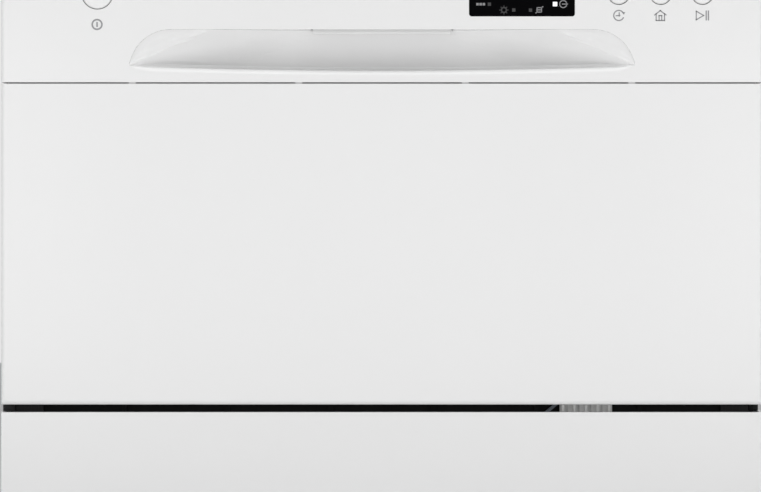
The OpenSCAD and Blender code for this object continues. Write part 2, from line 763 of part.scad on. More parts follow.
// Moulded control fascia with its button holes, display opening and clip tabs
module control_fascia() {
  z0 = z_seam + seam_h / 2;
  y1 = y_liner - liner_t;
  tab_pitch = 120.2;
  color([0.94, 0.94, 0.94]) difference() {
    union() {
      difference() {
        translate([0, 0, z0]) linear_extrude(z_door_top - z0) door_plan(0);
        translate([0, 0, z0 - 1]) linear_extrude(z_door_top - z0 + 1 - fascia_wall)
          difference() {
            door_plan(fascia_wall);
            translate([-half_w, y1]) square([body_w, 5]);
          }
      }
      both_sides() span(lever_w / 2 + 2.5, lever_w / 2 + 5.5, y_face + 1, lever_y + 4,
        lever_z - 4, lever_z + 4);
      in_xz(y_face + fascia_wall / 2, 15) intersection() {
        scoop_outline(2.2);
        translate([-half_w, scoop_ez]) square([body_w, scoop_r + 4]);
      }
      for (x = [power_x * -1, start_x, start_x - button_pitch, start_x - 2 * button_pitch])
        bar_y(x, y_face + fascia_wall / 2, y_face + 8, z_control, (x < 0 ? power_r : button_r) + 2.4);
      for (i = [-1.5:1.5]) span(i * tab_pitch - 2.5, i * tab_pitch + 2.5,
        y_face + panel_t + 0.3, y_face + fascia_wall + 0.6, z0 - 8, z0 + 6);
    }
    span(-half_w - 1, half_w + 1, y1, y_liner + 1, z0 - 10, z_door_top + 1);
    both_sides() bar_x(lever_w / 2 + 1, lever_w / 2 + 8, lever_y, lever_z, 2.06);
    span(-lever_w / 2 - 1.5, lever_w / 2 + 1.5, y_face + fascia_wall, y_face + 30,
      z_scoop_top - 1, z_scoop_top + 4);
    in_xz(y_face - 1, 20) scoop_outline(0.08);
    bar_y(-power_x, y_face - 1, y_face + 9, z_control, power_r + button_gap);
    for (i = [0:2]) bar_y(start_x - i * button_pitch, y_face - 1, y_face + 9, z_control,
      button_r + button_gap);
    in_xz(y_face - 1, fascia_wall + 2) round_box(display_x - display_w / 2,
      display_x + display_w / 2, z_display - display_h / 2, z_display + display_h / 2, 2);
  }
}

// Depth of the scoop behind the face at a point of the front view, a being |x|
function clamp(t) = max(0, min(1, t));
function lip_top(a) = z_lip + lip_bow * pow(a / (scoop_w / 2), 2);
function top_z(a) =
  a <= scoop_cx ? z_scoop_top
    : a <= scoop_cx + scoop_r * sin(scoop_slant)
      ? scoop_cz + sqrt(scoop_r * scoop_r - pow(a - scoop_cx, 2))
    : a <= scoop_ex + scoop_er * sin(scoop_slant)
      ? scoop_cz + scoop_r * cos(scoop_slant)
        - (a - scoop_cx - scoop_r * sin(scoop_slant)) * tan(scoop_slant)
    : scoop_ez + sqrt(max(0, scoop_er * scoop_er - pow(a - scoop_ex, 2)));
// Distance in from the outline
function rim_in(a, z) =
  let (d = [a - scoop_cx, z - scoop_cz], turn = atan2(d[0], d[1]))
  max(0, min(scoop_w / 2 - a, a <= scoop_cx ? z_scoop_top - z
    : turn < scoop_slant ? scoop_r - norm(d)
    : scoop_r - d[0] * sin(scoop_slant) - d[1] * cos(scoop_slant)));
// Distance above the crease that slants in from each end, less than 0 in the trough
crease_slope = 0.444;
function above_crease(a, z) =
  (z - z_scoop_top + 25.2 - crease_slope * (scoop_w / 2 - 0.7 - a)) / norm([1, crease_slope]);
// A shallow dish above the crease and the deep trough below it
function dish_d(s, t) =
  let (w = s / max(0.01, s + t)) min(1, (s + t) / 11) * (2.2 * (1 - w) + 8 * w * (1 - w));
function trough_d(e, t, up) =
  let (ridge = 2.2 * min(1, t / 11), full = scoop_d * (1 - 0.32 * clamp(up)))
  ridge + max(0, full - ridge) * (1 - pow(1 - clamp(e / 34), 1.6));
function depth_at(a, z) =
  let (s = above_crease(a, z), t = rim_in(a, z))
  s >= 0 ? dish_d(s, t) : trough_d(-s, t, (z - lip_top(a)) / (z_scoop_top - z_lip));
// Points up one column as height, depth and lean: foot, rounded lip, shelf, fillet, back
function column(a) =
  let (zl = lip_top(a), d = depth_at(a, zl + 2), lean = clamp(d / 8), f = min(3, 0.3 * d),
    fz = max(0.25, f), zs = zl + 0.05, rh = min(lip_r, 0.6 * d))
  concat(
    [[z_scoop_foot, 0, 0], [zl - lip_r, 0, 0]],
    [for (k = [18:18:90]) [zl - lip_r + lip_r * sin(k), rh * (1 - cos(k)), k * lean]],
    [[zs, max(rh + 0.01, d - f), 90 * lean]],
    [for (b = [60, 30, 0]) [zs + fz * (1 - sin(b)), max(rh + 0.02, d - f + f * cos(b)), b * lean]],
    [for (j = [1:12]) let (z = zs + fz + (top_z(a) - zs - fz) * j / 12)
      [z, depth_at(a, z), 0]]);

// Handle cup: a moulded shell whose surface follows the columns above
module handle_scoop() {
  cols = 56;
  rows = 22;
  function col_x(i) = let (t = 2 * i / cols - 1)
    sign(t) * scoop_w / 2 * (1 - pow(1 - abs(t), 1.9));
  grid = [for (i = [0:cols]) let (x = col_x(i)) [for (p = column(abs(x))) [x, p[0], p[1], p[2]]]];
  front = [for (c = grid) for (p = c) [p[0], y_face + p[2], p[1]]];
  back = [for (c = grid) for (p = c)
    [p[0], y_face + p[2] + scoop_wall * cos(p[3]), p[1] - scoop_wall * sin(p[3])]];
  n = (cols + 1) * (rows + 1);
  pts = concat(front, back);
  function at(i, j) = i * (rows + 1) + j;
  faces = concat(
    [for (i = [0:cols / 2 - 1]) for (j = [0:rows - 1]) each [
      [at(i, j), at(i, j + 1), at(i + 1, j + 1)],
      [at(i, j), at(i + 1, j + 1), at(i + 1, j)],
      [n + at(i, j), n + at(i + 1, j + 1), n + at(i, j + 1)],
      [n + at(i, j), n + at(i + 1, j), n + at(i + 1, j + 1)]]],
    [for (i = [cols / 2:cols - 1]) for (j = [0:rows - 1]) each [
      [at(i, j), at(i, j + 1), at(i + 1, j)],
      [at(i, j + 1), at(i + 1, j + 1), at(i + 1, j)],
      [n + at(i, j), n + at(i + 1, j), n + at(i, j + 1)],
      [n + at(i, j + 1), n + at(i + 1, j), n + at(i + 1, j + 1)]]],
    [for (i = [0:cols - 1]) each [
      [at(i, 0), at(i + 1, 0), n + at(i + 1, 0)], [at(i, 0), n + at(i + 1, 0), n + at(i, 0)],
      [at(i, rows), n + at(i + 1, rows), at(i + 1, rows)],
      [at(i, rows), n + at(i, rows), n + at(i + 1, rows)]]],
    [for (j = [0:rows - 1]) each [
      [at(0, j), n + at(0, j + 1), at(0, j + 1)], [at(0, j), n + at(0, j), n + at(0, j + 1)],
      [at(cols, j), at(cols, j + 1), n + at(cols, j + 1)],
      [at(cols, j), n + at(cols, j + 1), n + at(cols, j)]]]);
  color([0.92, 0.92, 0.92]) polyhedron(pts, faces);
}

// Pressed stainless liner on the inside of the door
module door_inner_panel() {
  x1 = half_w - 3;
  z0 = z_hinge + 4;
  z1 = z_door_top - 2;
  xf = tub_hw - 12;
  zf0 = tub_floor + 26;
  zf1 = z_scoop_top + 8;
  color([0.76, 0.77, 0.79]) difference() {
    union() {
      span(-x1, x1, y_liner - liner_t, y_liner, z0, z1);
      in_xz(y_liner - liner_field - liner_t, liner_field + liner_t) round_box(-xf - liner_t,
        xf + liner_t, zf0 - liner_t, zf1 + liner_t, 16);
    }
    in_xz(y_liner - liner_field, liner_field + 1) round_box(-xf, xf, zf0, zf1, 16);
    both_sides() span(arm_x - 1.5, bracket_x + hinge_plate + 1.5, y_liner - 3, y_liner + 1,
      z0 - 1, z_hinge + 12);
    in_xz(y_liner - liner_field - 2, liner_field + 3) round_box(-62, 62, z_disp - 37, z_disp + 37, 8);
    span(-14.5, 14.5, y_liner - 2, y_liner + 1, hook_z + 1.5, hook_z + 8.5);
  }
}

// Steel arm fixed inside the door, with its pin and the tail for the spring
module hinge_arm() {
  z1 = z_scoop_foot - 30;
  color([0.6, 0.61, 0.63]) union() {
    in_yz(arm_x, hinge_plate) difference() {
      union() {
        translate([y_hinge, z_hinge]) circle(hinge_up - 0.5);
        translate([y_hinge, z_hinge - 4]) square([hinge_tail, 8]);
        translate([y_hinge + hinge_tail, z_hinge]) circle(tail_r);
        translate([y_hinge + 8, z_hinge]) square([y_liner - liner_t - y_hinge - 8, z1 - z_hinge]);
      }
      translate([y_hinge + hinge_tail, z_hinge]) circle(1.6);
      for (d = [60:50:z1 - z_hinge - 20]) translate([y_hinge + 19, z_hinge + d]) circle(5);
    }
    bar_x(arm_x, bracket_x + hinge_plate + 1.5, y_hinge, z_hinge, hinge_pin_r);
    bar_x(arm_x + hinge_plate, bracket_x - 0.15, y_hinge, z_hinge, hinge_pin_r + 1.6);
    span(arm_x - 14, arm_x + 1, y_liner - liner_t - 2, y_liner - liner_t, z_hinge + 16, z1);
  }
}
module hinge_arm_right() { hinge_arm(); }
module hinge_arm_left() { mirror([1, 0, 0]) hinge_arm(); }

// Detergent and rinse aid dispenser let into the liner
module dispenser_body() {
  y1 = y_liner - liner_field + 4;
  color([0.85, 0.86, 0.87]) difference() {
    union() {
      in_xz(y_liner - 34, y1 - y_liner + 34) round_box(-61.7, 61.7, z_disp - 36.7, z_disp + 36.7, 8);
    }
    in_xz(y_liner - 30, 60) round_box(-50, 8, z_disp - 24, z_disp + 20, 6);
    bar_y(38, y_liner - 24, y1 + 1, z_disp - 6, 13.4);
    span(-53, 11, y1 - 2.4, y1 + 1, z_disp - 28, z_disp + 25);
    span(-56, 14, y1 - 4.4, y1 + 1, z_disp - 31.6, z_disp - 26);
  }
}

// Sprung lid over the detergent chamber, hinged along its lower edge
module dispenser_lid() {
  y1 = y_liner - liner_field + 4;
  color([0.75, 0.78, 0.82]) union() {
    span(-52.6, 10.6, y1 - 2.1, y1 - 0.3, z_disp - 28, z_disp + 24.6);
    bar_x(-52, 10, y1 - 1.8, z_disp - 28.6, 1.5);
    span(-26, -16, y1 - 0.4, y1 + 2.5, z_disp + 17, z_disp + 23);
  }
}

// Quarter turn cap of the rinse aid tank
module rinse_aid_cap() {
  y1 = y_liner - liner_field + 4;
  color([0.2, 0.3, 0.45]) union() {
    bar_y(38, y1 - 12, y1 + 2, z_disp - 6, 13);
    span(28, 48, y1 + 2, y1 + 5, z_disp - 8, z_disp - 4);
  }
}

// Black glass of the display, flush with the fascia
module display_window() {
  g = 0.15;
  color([0.02, 0.02, 0.03]) in_xz(y_face + 0.25, fascia_wall + 1) round_box(
    display_x - display_w / 2 + g, display_x + display_w / 2 - g,
    z_display - display_h / 2 + g, z_display + display_h / 2 - g, 2 - g);
}

// Circuit board behind the display and the function buttons
module control_board() {
  y0 = y_face + 15;
  x0 = display_x - display_w / 2 - 4;
  x1 = start_x + 16;
  color([0.1, 0.35, 0.18]) union() {
    span(x0, x1, y0, y0 + 1.6, z_display - display_h / 2 - 1, z_door_top - fascia_wall - 0.5);
    span(display_x - display_w / 2 + 3, display_x + display_w / 2 - 3,
      y_face + fascia_wall + 1.25, y0, z_display - display_h / 2 + 3, z_display + display_h / 2 - 3);
    for (i = [0:2]) bar_y(start_x - i * button_pitch, y_face + 11.6, y0, z_control, 3);
    span(x0 + 30, x0 + 90, y0 + 1.6, y0 + 16, z_display - 8, z_display + 12);
  }
}

// Housing of the door lock behind the lever, with two cheeks that hold the hook's pin
module door_lock() {
  y0 = y_face + 24;
  color([0.14, 0.14, 0.15]) difference() {
    union() {
      span(-34, 34, y0, y_liner - liner_t, z_scoop_top + 13, z_door_top - fascia_wall - 1);
      for (x = [-9, 6]) span(x, x + 3, hook_y - 4.5, y0 + 1, hook_z - 6, hook_z + 6);
    }
    span(-5.5, 5.5, y0 - 1, y_liner, hook_z - 9.5, hook_z + 6.5);
    span(-14, 14, y0 + 5, y_liner, hook_z + 1.5, hook_z + 8.5);
    bar_x(-16, 16, hook_y, hook_z, 2.06);
  }
}

// Round button with a stepped back and a sprung stem
module push_button(x, r) {
  color([0.95, 0.95, 0.95]) union() {
    bar_y(x, y_face - 0.2, y_face + 1, z_control, r - 0.5);
    bar_y(x, y_face + 0.3, y_face + 9, z_control, r);
    bar_y(x, y_face + 9, y_face + 9.8, z_control, r - 3);
  }
}
module power_button() { push_button(-power_x, power_r); }
module start_button() { push_button(start_x, button_r); }
module program_button() { push_button(start_x - button_pitch, button_r); }
module delay_button() { push_button(start_x - 2 * button_pitch, button_r); }

// Finger lever whose lower edge shows at the top of the scoop
module release_lever() {
  z0 = z_scoop_top - lever_hang;
  color([0.9, 0.9, 0.9]) union() {
    in_yz(-lever_w / 2, lever_w) union() {
      translate([lever_y, z0 + 1.5]) circle(1.5);
      translate([lever_y - 1.5, z0 + 1.5]) square([3, lever_z - z0 - 1.5]);
      translate([lever_y, lever_z]) circle(2.5);
    }
    bar_x(-lever_w / 2 - 6, lever_w / 2 + 6, lever_y, lever_z, 2);
    span(-6, 6, lever_y - 1, lever_y + 9, lever_z + 1, lever_z + 6);
  }
}

// Hook that rises behind the keeper's bar
module latch_hook() {
  color([0.25, 0.25, 0.27]) union() {
    in_yz(-4, 8) union() {
      translate([hook_y, hook_z]) circle(4);
      translate([hook_y, hook_z - 4]) square([20.5, 3.2]);
      translate([hook_y + 16.8, hook_z - 2]) square([3.7, 4.4]);
    }
    bar_x(-8.8, 8.8, hook_y, hook_z, 2);
  }
}

// Rounded loop of wire round the top of the rack
module rack_rim() {
  r = wire_r + 0.5;
  c = 16;
  xr = rack_w / 2 - wire_r - c;
  ym = y_rack + rack_d / 2;
  yr = rack_d / 2 - wire_r - c;
  z = z_rack + rack_h;
  color([0.78, 0.79, 0.8]) translate([0, ym, z]) union() {
    for (s = [-1, 1]) {
      bar_x(-xr, xr, s * (yr + c), 0, r);
      bar_y(s * (xr + c), -yr, yr, 0, r);
    }
    for (a = [0, 90, 180, 270]) {
      sx = a == 0 || a == 270 ? 1 : -1;
      sy = a < 180 ? 1 : -1;
      translate([sx * xr, sy * yr, 0]) rotate(a) rotate_extrude(angle = 90)
        translate([c, 0]) circle(r);
    }
  }
}

// Floor of the rack: wires along Y with the cross wires on top
module rack_floor() {
  nx = floor((rack_w / 2 - 10) / wire_pitch);
  ny = floor((rack_d - 24) / wire_pitch);
  color([0.78, 0.79, 0.8]) union() {
    for (i = [-nx:nx])
      bar_y(i * wire_pitch, y_rack + 2 * wire_r, y_rack + rack_d - 2 * wire_r, z_rack, wire_r);
    for (j = [0:ny])
      bar_x(-rack_w / 2 + wire_r, rack_w / 2 - wire_r, y_rack + 12 + j * wire_pitch,
        z_rack + 2 * wire_r - 0.5, wire_r);
  }
}

// Side of the rack: uprights between two long wires, and plates that hold the axles
module rack_side() {
  x = rack_w / 2 - wire_r;
  n = floor((rack_d - 62) / wire_pitch);
  color([0.78, 0.79, 0.8]) difference() {
    union() {
      bar_y(x, y_rack + 2 * wire_r, y_rack + rack_d - 2 * wire_r, z_rack - 0.5, wire_r);
      bar_y(x, y_rack + 20, y_rack + rack_d - 20, z_rack + rack_h / 2, wire_r);
      for (j = [0:n])
        bar_z(x, y_rack + 31 + j * wire_pitch, z_rack - 0.5, z_rack + rack_h - wire_r - 0.5,
          wire_r - 0.15);
      for (y = [wheel_y1, wheel_y2]) {
        in_yz(x - 1.2, 2.4) translate([y, 0]) round_box(-13, 13, z_wheel - 8, z_rack - 1, 5);
        bar_x(x, wheel_x + wheel_t / 2 + 1, y, z_wheel, 3);
        bar_x(wheel_x + wheel_t / 2 + 0.3, wheel_x + wheel_t / 2 + 2, y, z_wheel, 4.6);
      }
    }
    for (y = [wheel_y1, wheel_y2]) span(x - 3, x + 3, y - 2, y + 2, z_rack - 14, z_rack - 8);
  }
}
module rack_side_right() { rack_side(); }
module rack_side_left() { mirror([1, 0, 0]) rack_side(); }

// Front and rear of the rack: uprights between two cross wires
module rack_end(y) {
  xe = rack_w / 2 - 2 * wire_r;
  n = floor((xe - 12) / wire_pitch);
  color([0.78, 0.79, 0.8]) union() {
    bar_x(-xe + wire_r, xe - wire_r, y, z_rack, wire_r);
    bar_x(-xe + 14, xe - 14, y, z_rack + rack_h / 2, wire_r);
    for (i = [-n:n]) bar_z(i * wire_pitch, y, z_rack, z_rack + rack_h - wire_r - 0.5, wire_r);
  }
}
module rack_ends() {
  rack_end(y_rack + wire_r);
  rack_end(y_rack + rack_d - wire_r);
}

// Four rows of plate tines on their base wires
module rack_tines() {
  r = wire_r * 0.85;
  zb = z_rack + 3 * wire_r - 0.5 + r;
  n = floor((rack_d - 190) / tine_pitch);
  color([0.78, 0.79, 0.8]) for (x = tine_rows) union() {
    bar_y(x, y_rack + 40, y_rack + rack_d - 24, zb, r);
    for (j = [0:n + 4]) translate([x, y_rack + 52 + j * tine_pitch, zb]) {
      cylinder(r = r, h = tine_h);
      translate([0, 0, tine_h]) sphere(r);
    }
  }
}

// A pair of rack wheels with ribbed faces
module wheel_pair(y) {
  color([0.55, 0.57, 0.6]) both_sides() difference() {
    union() {
      bar_x(wheel_x - wheel_t / 2, wheel_x + wheel_t / 2, y, z_wheel, 6.2);
      bar_x(wheel_x - 1, wheel_x + 1, y, z_wheel, wheel_r - 1);
      difference() {
        bar_x(wheel_x - wheel_t / 2 + 1, wheel_x + wheel_t / 2 - 1, y, z_wheel, wheel_r);
        bar_x(wheel_x - wheel_t, wheel_x + wheel_t, y, z_wheel, wheel_r - 2.6);
      }
    }
    bar_x(wheel_x - wheel_t, wheel_x + wheel_t, y, z_wheel, 3.15);
  }
}
module rack_wheels_front() { wheel_pair(wheel_y1); }
module rack_wheels_rear() { wheel_pair(wheel_y2); }

// Cup shelf that folds up on its long hinge wire beside the rim
module cup_shelf() {
  x0 = -rack_w / 2 + wire_r;
  z = z_rack + rack_h + wire_r + 0.5 + 2.4 + 0.2;
  color([0.7, 0.72, 0.75]) union() {
    bar_y(x0, y_rack + 60, y_rack + rack_d - 60, z, 2.4);
    for (j = [0:6]) bar_x(x0, x0 + 84, y_rack + 68 + j * (rack_d - 136) / 6, z, 1.8);
    bar_y(x0 + 84, y_rack + 64, y_rack + rack_d - 64, z, 2);
    bar_y(x0 + 44, y_rack + 68, y_rack + rack_d - 68, z, 1.6);
  }
}

// Open cutlery basket with slotted walls and crossed partitions
module cutlery_basket() {
  x0 = 64;
  x1 = rack_w / 2 - 2 * wire_r - 2;
  y0 = y_rack + 16;
  y1 = y0 + 78;
  z0 = z_rack + 3 * wire_r - 0.5;
  z1 = z0 + 96;
  w = 2;
  color([0.6, 0.63, 0.67]) difference() {
    span(x0, x1, y0, y1, z0, z1);
    for (i = [0:2], j = [0:1]) {
      cw = (x1 - x0 - 4 * w) / 3;
      cd = (y1 - y0 - 3 * w) / 2;
      xa = x0 + w + i * (cw + w);
      ya = y0 + w + j * (cd + w);
      span(xa, xa + cw, ya, ya + cd, z0 + w, z1 + 1);
      for (k = [0:3]) span(xa + 4 + k * (cw - 8) / 3.6, xa + 8 + k * (cw - 8) / 3.6, ya + 4, ya + cd - 4,
        z0 - 1, z0 + w + 1);
    }
    for (k = [0:9]) span(x0 + 8 + k * (x1 - x0 - 16) / 9.6, x0 + 13 + k * (x1 - x0 - 16) / 9.6,
      y0 - 1, y0 + w + 1, z0 + 14, z1 - 14);
    for (k = [0:9]) span(x0 + 8 + k * (x1 - x0 - 16) / 9.6, x0 + 13 + k * (x1 - x0 - 16) / 9.6,
      y1 - w - 1, y1 + 1, z0 + 14, z1 - 14);
  }
}

base_tray();
plinth_panel();
outer_casing();
rear_panel();
tub();
tub_base();
tub_seal();
front_frame();
rack_rail_left();
rack_rail_right();
hinge_bracket_left();
hinge_bracket_right();
door_spring_left();
door_spring_right();
sump();
spray_hub();
wash_pump();
drain_pump();
heater();
water_softener();
inlet_valve();
drain_outlet();
power_inlet();
harness_guide();
latch_strike();
rear_feet();
door_outer_panel();
control_fascia();
handle_scoop();
door_inner_panel();
hinge_arm_left();
hinge_arm_right();
dispenser_body();
display_window();
control_board();
door_lock();
power_button();
delay_button();
program_button();
start_button();
release_lever();
latch_hook();
dispenser_lid();
rinse_aid_cap();
rack_floor();
rack_rim();
rack_side_left();
rack_side_right();
rack_ends();
rack_tines();
rack_wheels_front();
rack_wheels_rear();
cup_shelf();
cutlery_basket();
spray_arm();
filter_cup();
salt_cap();
float_cap();
front_foot_left();
front_foot_right();
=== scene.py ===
"""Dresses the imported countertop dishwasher: finishes, printed icons, screws, camera and light."""

import json
import math

import bmesh
import bpy
from mathutils import Matrix, Vector


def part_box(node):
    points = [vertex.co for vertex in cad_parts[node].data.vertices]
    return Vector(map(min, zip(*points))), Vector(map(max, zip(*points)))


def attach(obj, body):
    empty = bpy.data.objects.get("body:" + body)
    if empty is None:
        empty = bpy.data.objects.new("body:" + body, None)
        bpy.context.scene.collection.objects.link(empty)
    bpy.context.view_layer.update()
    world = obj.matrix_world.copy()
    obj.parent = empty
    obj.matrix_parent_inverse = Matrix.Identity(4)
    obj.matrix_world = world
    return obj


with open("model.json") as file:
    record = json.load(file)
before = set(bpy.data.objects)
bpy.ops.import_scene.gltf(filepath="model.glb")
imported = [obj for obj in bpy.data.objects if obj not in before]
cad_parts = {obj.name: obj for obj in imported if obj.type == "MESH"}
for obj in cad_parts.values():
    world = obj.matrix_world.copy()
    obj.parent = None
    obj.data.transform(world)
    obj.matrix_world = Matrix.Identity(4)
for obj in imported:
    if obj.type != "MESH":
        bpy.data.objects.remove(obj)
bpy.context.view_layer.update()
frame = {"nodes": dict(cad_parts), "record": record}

bl_info = {
    "name": "Countertop dishwasher finishes",
    "version": (1, 0, 0),
    "blender": (4, 5, 0),
    "location": "3D View > Sidebar > Dishwasher",
    "description": "Finishes, printed icons, screws, camera and light for a countertop dishwasher",
    "category": "Object",
}

MM = 0.001

# Places on the front that the printed icons take from the controls they belong to
FACE_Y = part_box("control_fascia")[0].y
POWER_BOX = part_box("power_button")
DELAY_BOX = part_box("delay_button")
PROGRAM_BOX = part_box("program_button")
START_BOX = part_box("start_button")
DISPLAY_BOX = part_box("display_window")
LINER_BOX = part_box("door_inner_panel")
REAR_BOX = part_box("rear_panel")
PLINTH_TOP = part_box("plinth_panel")[1].z


def middle(box):
    """Middle of a node's box."""
    return (box[0] + box[1]) / 2


# Shader maths


class Value:
    """A shader socket that Python's operators work on."""

    def __init__(self, graph, socket):
        self.graph = graph
        self.socket = socket

    def math(self, operation, *others, clamp=False):
        """A Math node on this value and the others."""
        settings = {"operation": operation, "use_clamp": clamp}
        inputs = dict(enumerate([self, *others]))
        return self.graph.node("ShaderNodeMath", settings, inputs).out(0)

    def __add__(self, other):
        return self.math("ADD", other)

    __radd__ = __add__

    def __sub__(self, other):
        return self.math("SUBTRACT", other)

    def __rsub__(self, other):
        return self.graph.value(other).math("SUBTRACT", self)

    def __mul__(self, other):
        return self.math("MULTIPLY", other)

    __rmul__ = __mul__

    def __truediv__(self, other):
        return self.math("DIVIDE", other)

    def __gt__(self, other):
        return self.math("GREATER_THAN", other)

    def __lt__(self, other):
        return self.math("LESS_THAN", other)

    def __abs__(self):
        return self.math("ABSOLUTE")

    def clamp(self):
        """This value kept from 0 to 1."""
        return self.math("ADD", 0.0, clamp=True)

    def sin(self):
        """Sine of this value."""
        return self.math("SINE")

    def power(self, exponent):
        """This value raised to an exponent."""
        return self.math("POWER", exponent)

    def repeat(self, pitch):
        """Distance to the nearest multiple of a pitch."""
        return abs(self.math("PINGPONG", pitch / 2))


class Maker:
    """A made node, whose outputs come back as values."""

    def __init__(self, graph, node):
        self.graph = graph
        self.made = node

    def out(self, key):
        """One output as a value."""
        return Value(self.graph, self.made.outputs[key])


class Graph:
    """A material's node tree and the calls that fill it."""

    def __init__(self, name):
        self.material = bpy.data.materials.new(name)
        self.material.use_nodes = True
        self.tree = self.material.node_tree
        self.tree.nodes.clear()

    def node(self, kind, settings=None, inputs=None):
        """Any node: its settings first, then the values or links of its sockets."""
        made = self.tree.nodes.new(kind)
        for key, setting in (settings or {}).items():
            if key == "stops":
                self.set_stops(made.color_ramp, setting)
            else:
                setattr(made, key, setting)
        for key, given in (inputs or {}).items():
            if isinstance(given, Value):
                self.tree.links.new(given.socket, made.inputs[key])
            else:
                made.inputs[key].default_value = given
        return Maker(self, made)

    @staticmethod
    def set_stops(ramp, stops):
        """Colour stops of a ramp, as (place, grey)."""
        while len(ramp.elements) < len(stops):
            ramp.elements.new(0.5)
        for element, (place, grey) in zip(ramp.elements, stops):
            element.position = place
            element.color = (grey, grey, grey, 1)

    def value(self, number):
        """A plain number as a value."""
        maker = self.node("ShaderNodeValue")
        maker.made.outputs[0].default_value = number
        return maker.out(0)

    def place(self):
        """X, Y and Z in the object's own frame, in metres."""
        coordinates = self.node("ShaderNodeTexCoord").out("Object")
        split = self.node("ShaderNodeSeparateXYZ", None, {0: coordinates})
        return coordinates, split.out(0), split.out(1), split.out(2)

    def stretched(self, scale):
        """Object coordinates scaled by a vector, for a grain that runs one way."""
        coordinates = self.node("ShaderNodeTexCoord").out("Object")
        settings = {"operation": "MULTIPLY"}
        return self.node("ShaderNodeVectorMath", settings, {0: coordinates, 1: scale}).out(0)

    def noise(self, scale, detail=3.0, vector=None, roughness=0.5):
        """Soft noise about 0.5."""
        vector = vector or self.node("ShaderNodeTexCoord").out("Object")
        inputs = {"Vector": vector, "Scale": scale, "Detail": detail, "Roughness": roughness}
        return self.node("ShaderNodeTexNoise", None, inputs).out("Fac")

    def mix(self, mask, low, high):
        """Two colours mixed by a mask."""
        settings = {"data_type": "RGBA"}
        inputs = {0: mask, 6: (*low, 1) if isinstance(low, tuple) else low}
        inputs[7] = (*high, 1) if isinstance(high, tuple) else high
        return self.node("ShaderNodeMix", settings, inputs).out(2)

    def bump(self, height, distance, strength=1.0, normal=None):
        """Bump from a height, its distance in metres."""
        inputs = {"Height": height, "Distance": distance, "Strength": strength}
        if normal is not None:
            inputs["Normal"] = normal
        return self.node("ShaderNodeBump", None, inputs).out(0)

    def soft_edges(self, radius):
        """Normal that rounds the edges off by a radius."""
        return self.node("ShaderNodeBevel", {"samples": 6}, {"Radius": radius}).out(0)

    def finish(self, inputs):
        """The principled shader and the output; gives the material."""
        shader = self.node("ShaderNodeBsdfPrincipled", None, inputs).out(0)
        self.node("ShaderNodeOutputMaterial", None, {0: shader})
        return self.material


# Finishes


def white_moulding(name, tone, grain, soft=True):
    """Injection moulded white plastic with a very fine grain, its edges softened if asked."""
    g = Graph(name)
    cloud = g.noise(9.0, 2.0)
    colour = g.mix(cloud, tuple(c * 0.985 for c in tone), tone)
    fine = g.noise(grain, 3.0)
    normal = g.bump(fine, 0.00002, 0.35, g.soft_edges(0.7 * MM) if soft else None)
    rough = 0.22 + g.noise(60.0, 2.0) * 0.05
    return g.finish({"Base Color": colour, "Roughness": rough, "Normal": normal,
                     "Coat Weight": 0.25, "Coat Roughness": 0.12, "IOR": 1.5})


def white_enamel(name, tone):
    """Sprayed white enamel on sheet steel, with the faint skin such paint has."""
    g = Graph(name)
    skin = g.noise(420.0, 2.0)
    colour = g.mix(g.noise(6.0, 2.0), tuple(c * 0.985 for c in tone), tone)
    normal = g.bump(skin, 0.00003, 0.3, g.soft_edges(0.8 * MM))
    rough = 0.3 + g.noise(35.0, 2.0) * 0.06
    return g.finish({"Base Color": colour, "Roughness": rough, "Normal": normal,
                     "Coat Weight": 0.2, "Coat Roughness": 0.12})


def brushed_stainless(name, tone, along, roughness):
    """Stainless sheet with a brushed grain along one axis."""
    g = Graph(name)
    scale = [620.0, 620.0, 620.0]
    scale[along] = 9.0
    grain = g.noise(1.0, 4.0, g.stretched(tuple(scale)), 0.6)
    smudge = g.noise(14.0, 3.0)
    colour = g.mix(grain, tuple(c * 0.9 for c in tone), tone)
    rough = roughness + grain * 0.12 + smudge * 0.06
    normal = g.bump(grain, 0.00002, 0.25, g.soft_edges(0.5 * MM))
    return g.finish({"Base Color": colour, "Roughness": rough, "Metallic": 1.0,
                     "Normal": normal})


def tub_stainless():
    """Stainless of the tub, with the pressed beads that stiffen its walls."""
    g = Graph("tub_stainless")
    _, x, y, z = g.place()
    grain = g.noise(1.0, 4.0, g.stretched((14.0, 600.0, 600.0)), 0.6)
    in_wall = (z > 0.175) * (z < 0.372) * (abs(x) > 0.22)
    bead = (1 - (y.repeat(90 * MM) / (7 * MM)).clamp()) * in_wall
    rear = (y > 0.2) * (z > 0.175) * (z < 0.372) * (abs(x) < 0.2)
    rear_bead = (1 - (x.repeat(100 * MM) / (7 * MM)).clamp()) * rear
    height = (bead + rear_bead).clamp()
    normal = g.bump(height, 0.0016, 1.0, g.bump(grain, 0.00002, 0.25))
    colour = g.mix(grain, (0.54, 0.55, 0.56), (0.64, 0.65, 0.66))
    rough = 0.28 + grain * 0.08 + g.noise(12.0, 3.0) * 0.08
    return g.finish({"Base Color": colour, "Roughness": rough, "Metallic": 1.0,
                     "Normal": normal})


def dull_plastic(name, tone, roughness=0.5, grain=900.0):
    """Textured engineering plastic."""
    g = Graph(name)
    fine = g.noise(grain, 3.0)
    colour = g.mix(g.noise(25.0, 3.0), tuple(c * 0.88 for c in tone), tone)
    normal = g.bump(fine, 0.00006, 0.6, g.soft_edges(0.5 * MM))
    rough = roughness + g.noise(80.0, 2.0) * 0.12
    return g.finish({"Base Color": colour, "Roughness": rough, "Normal": normal})


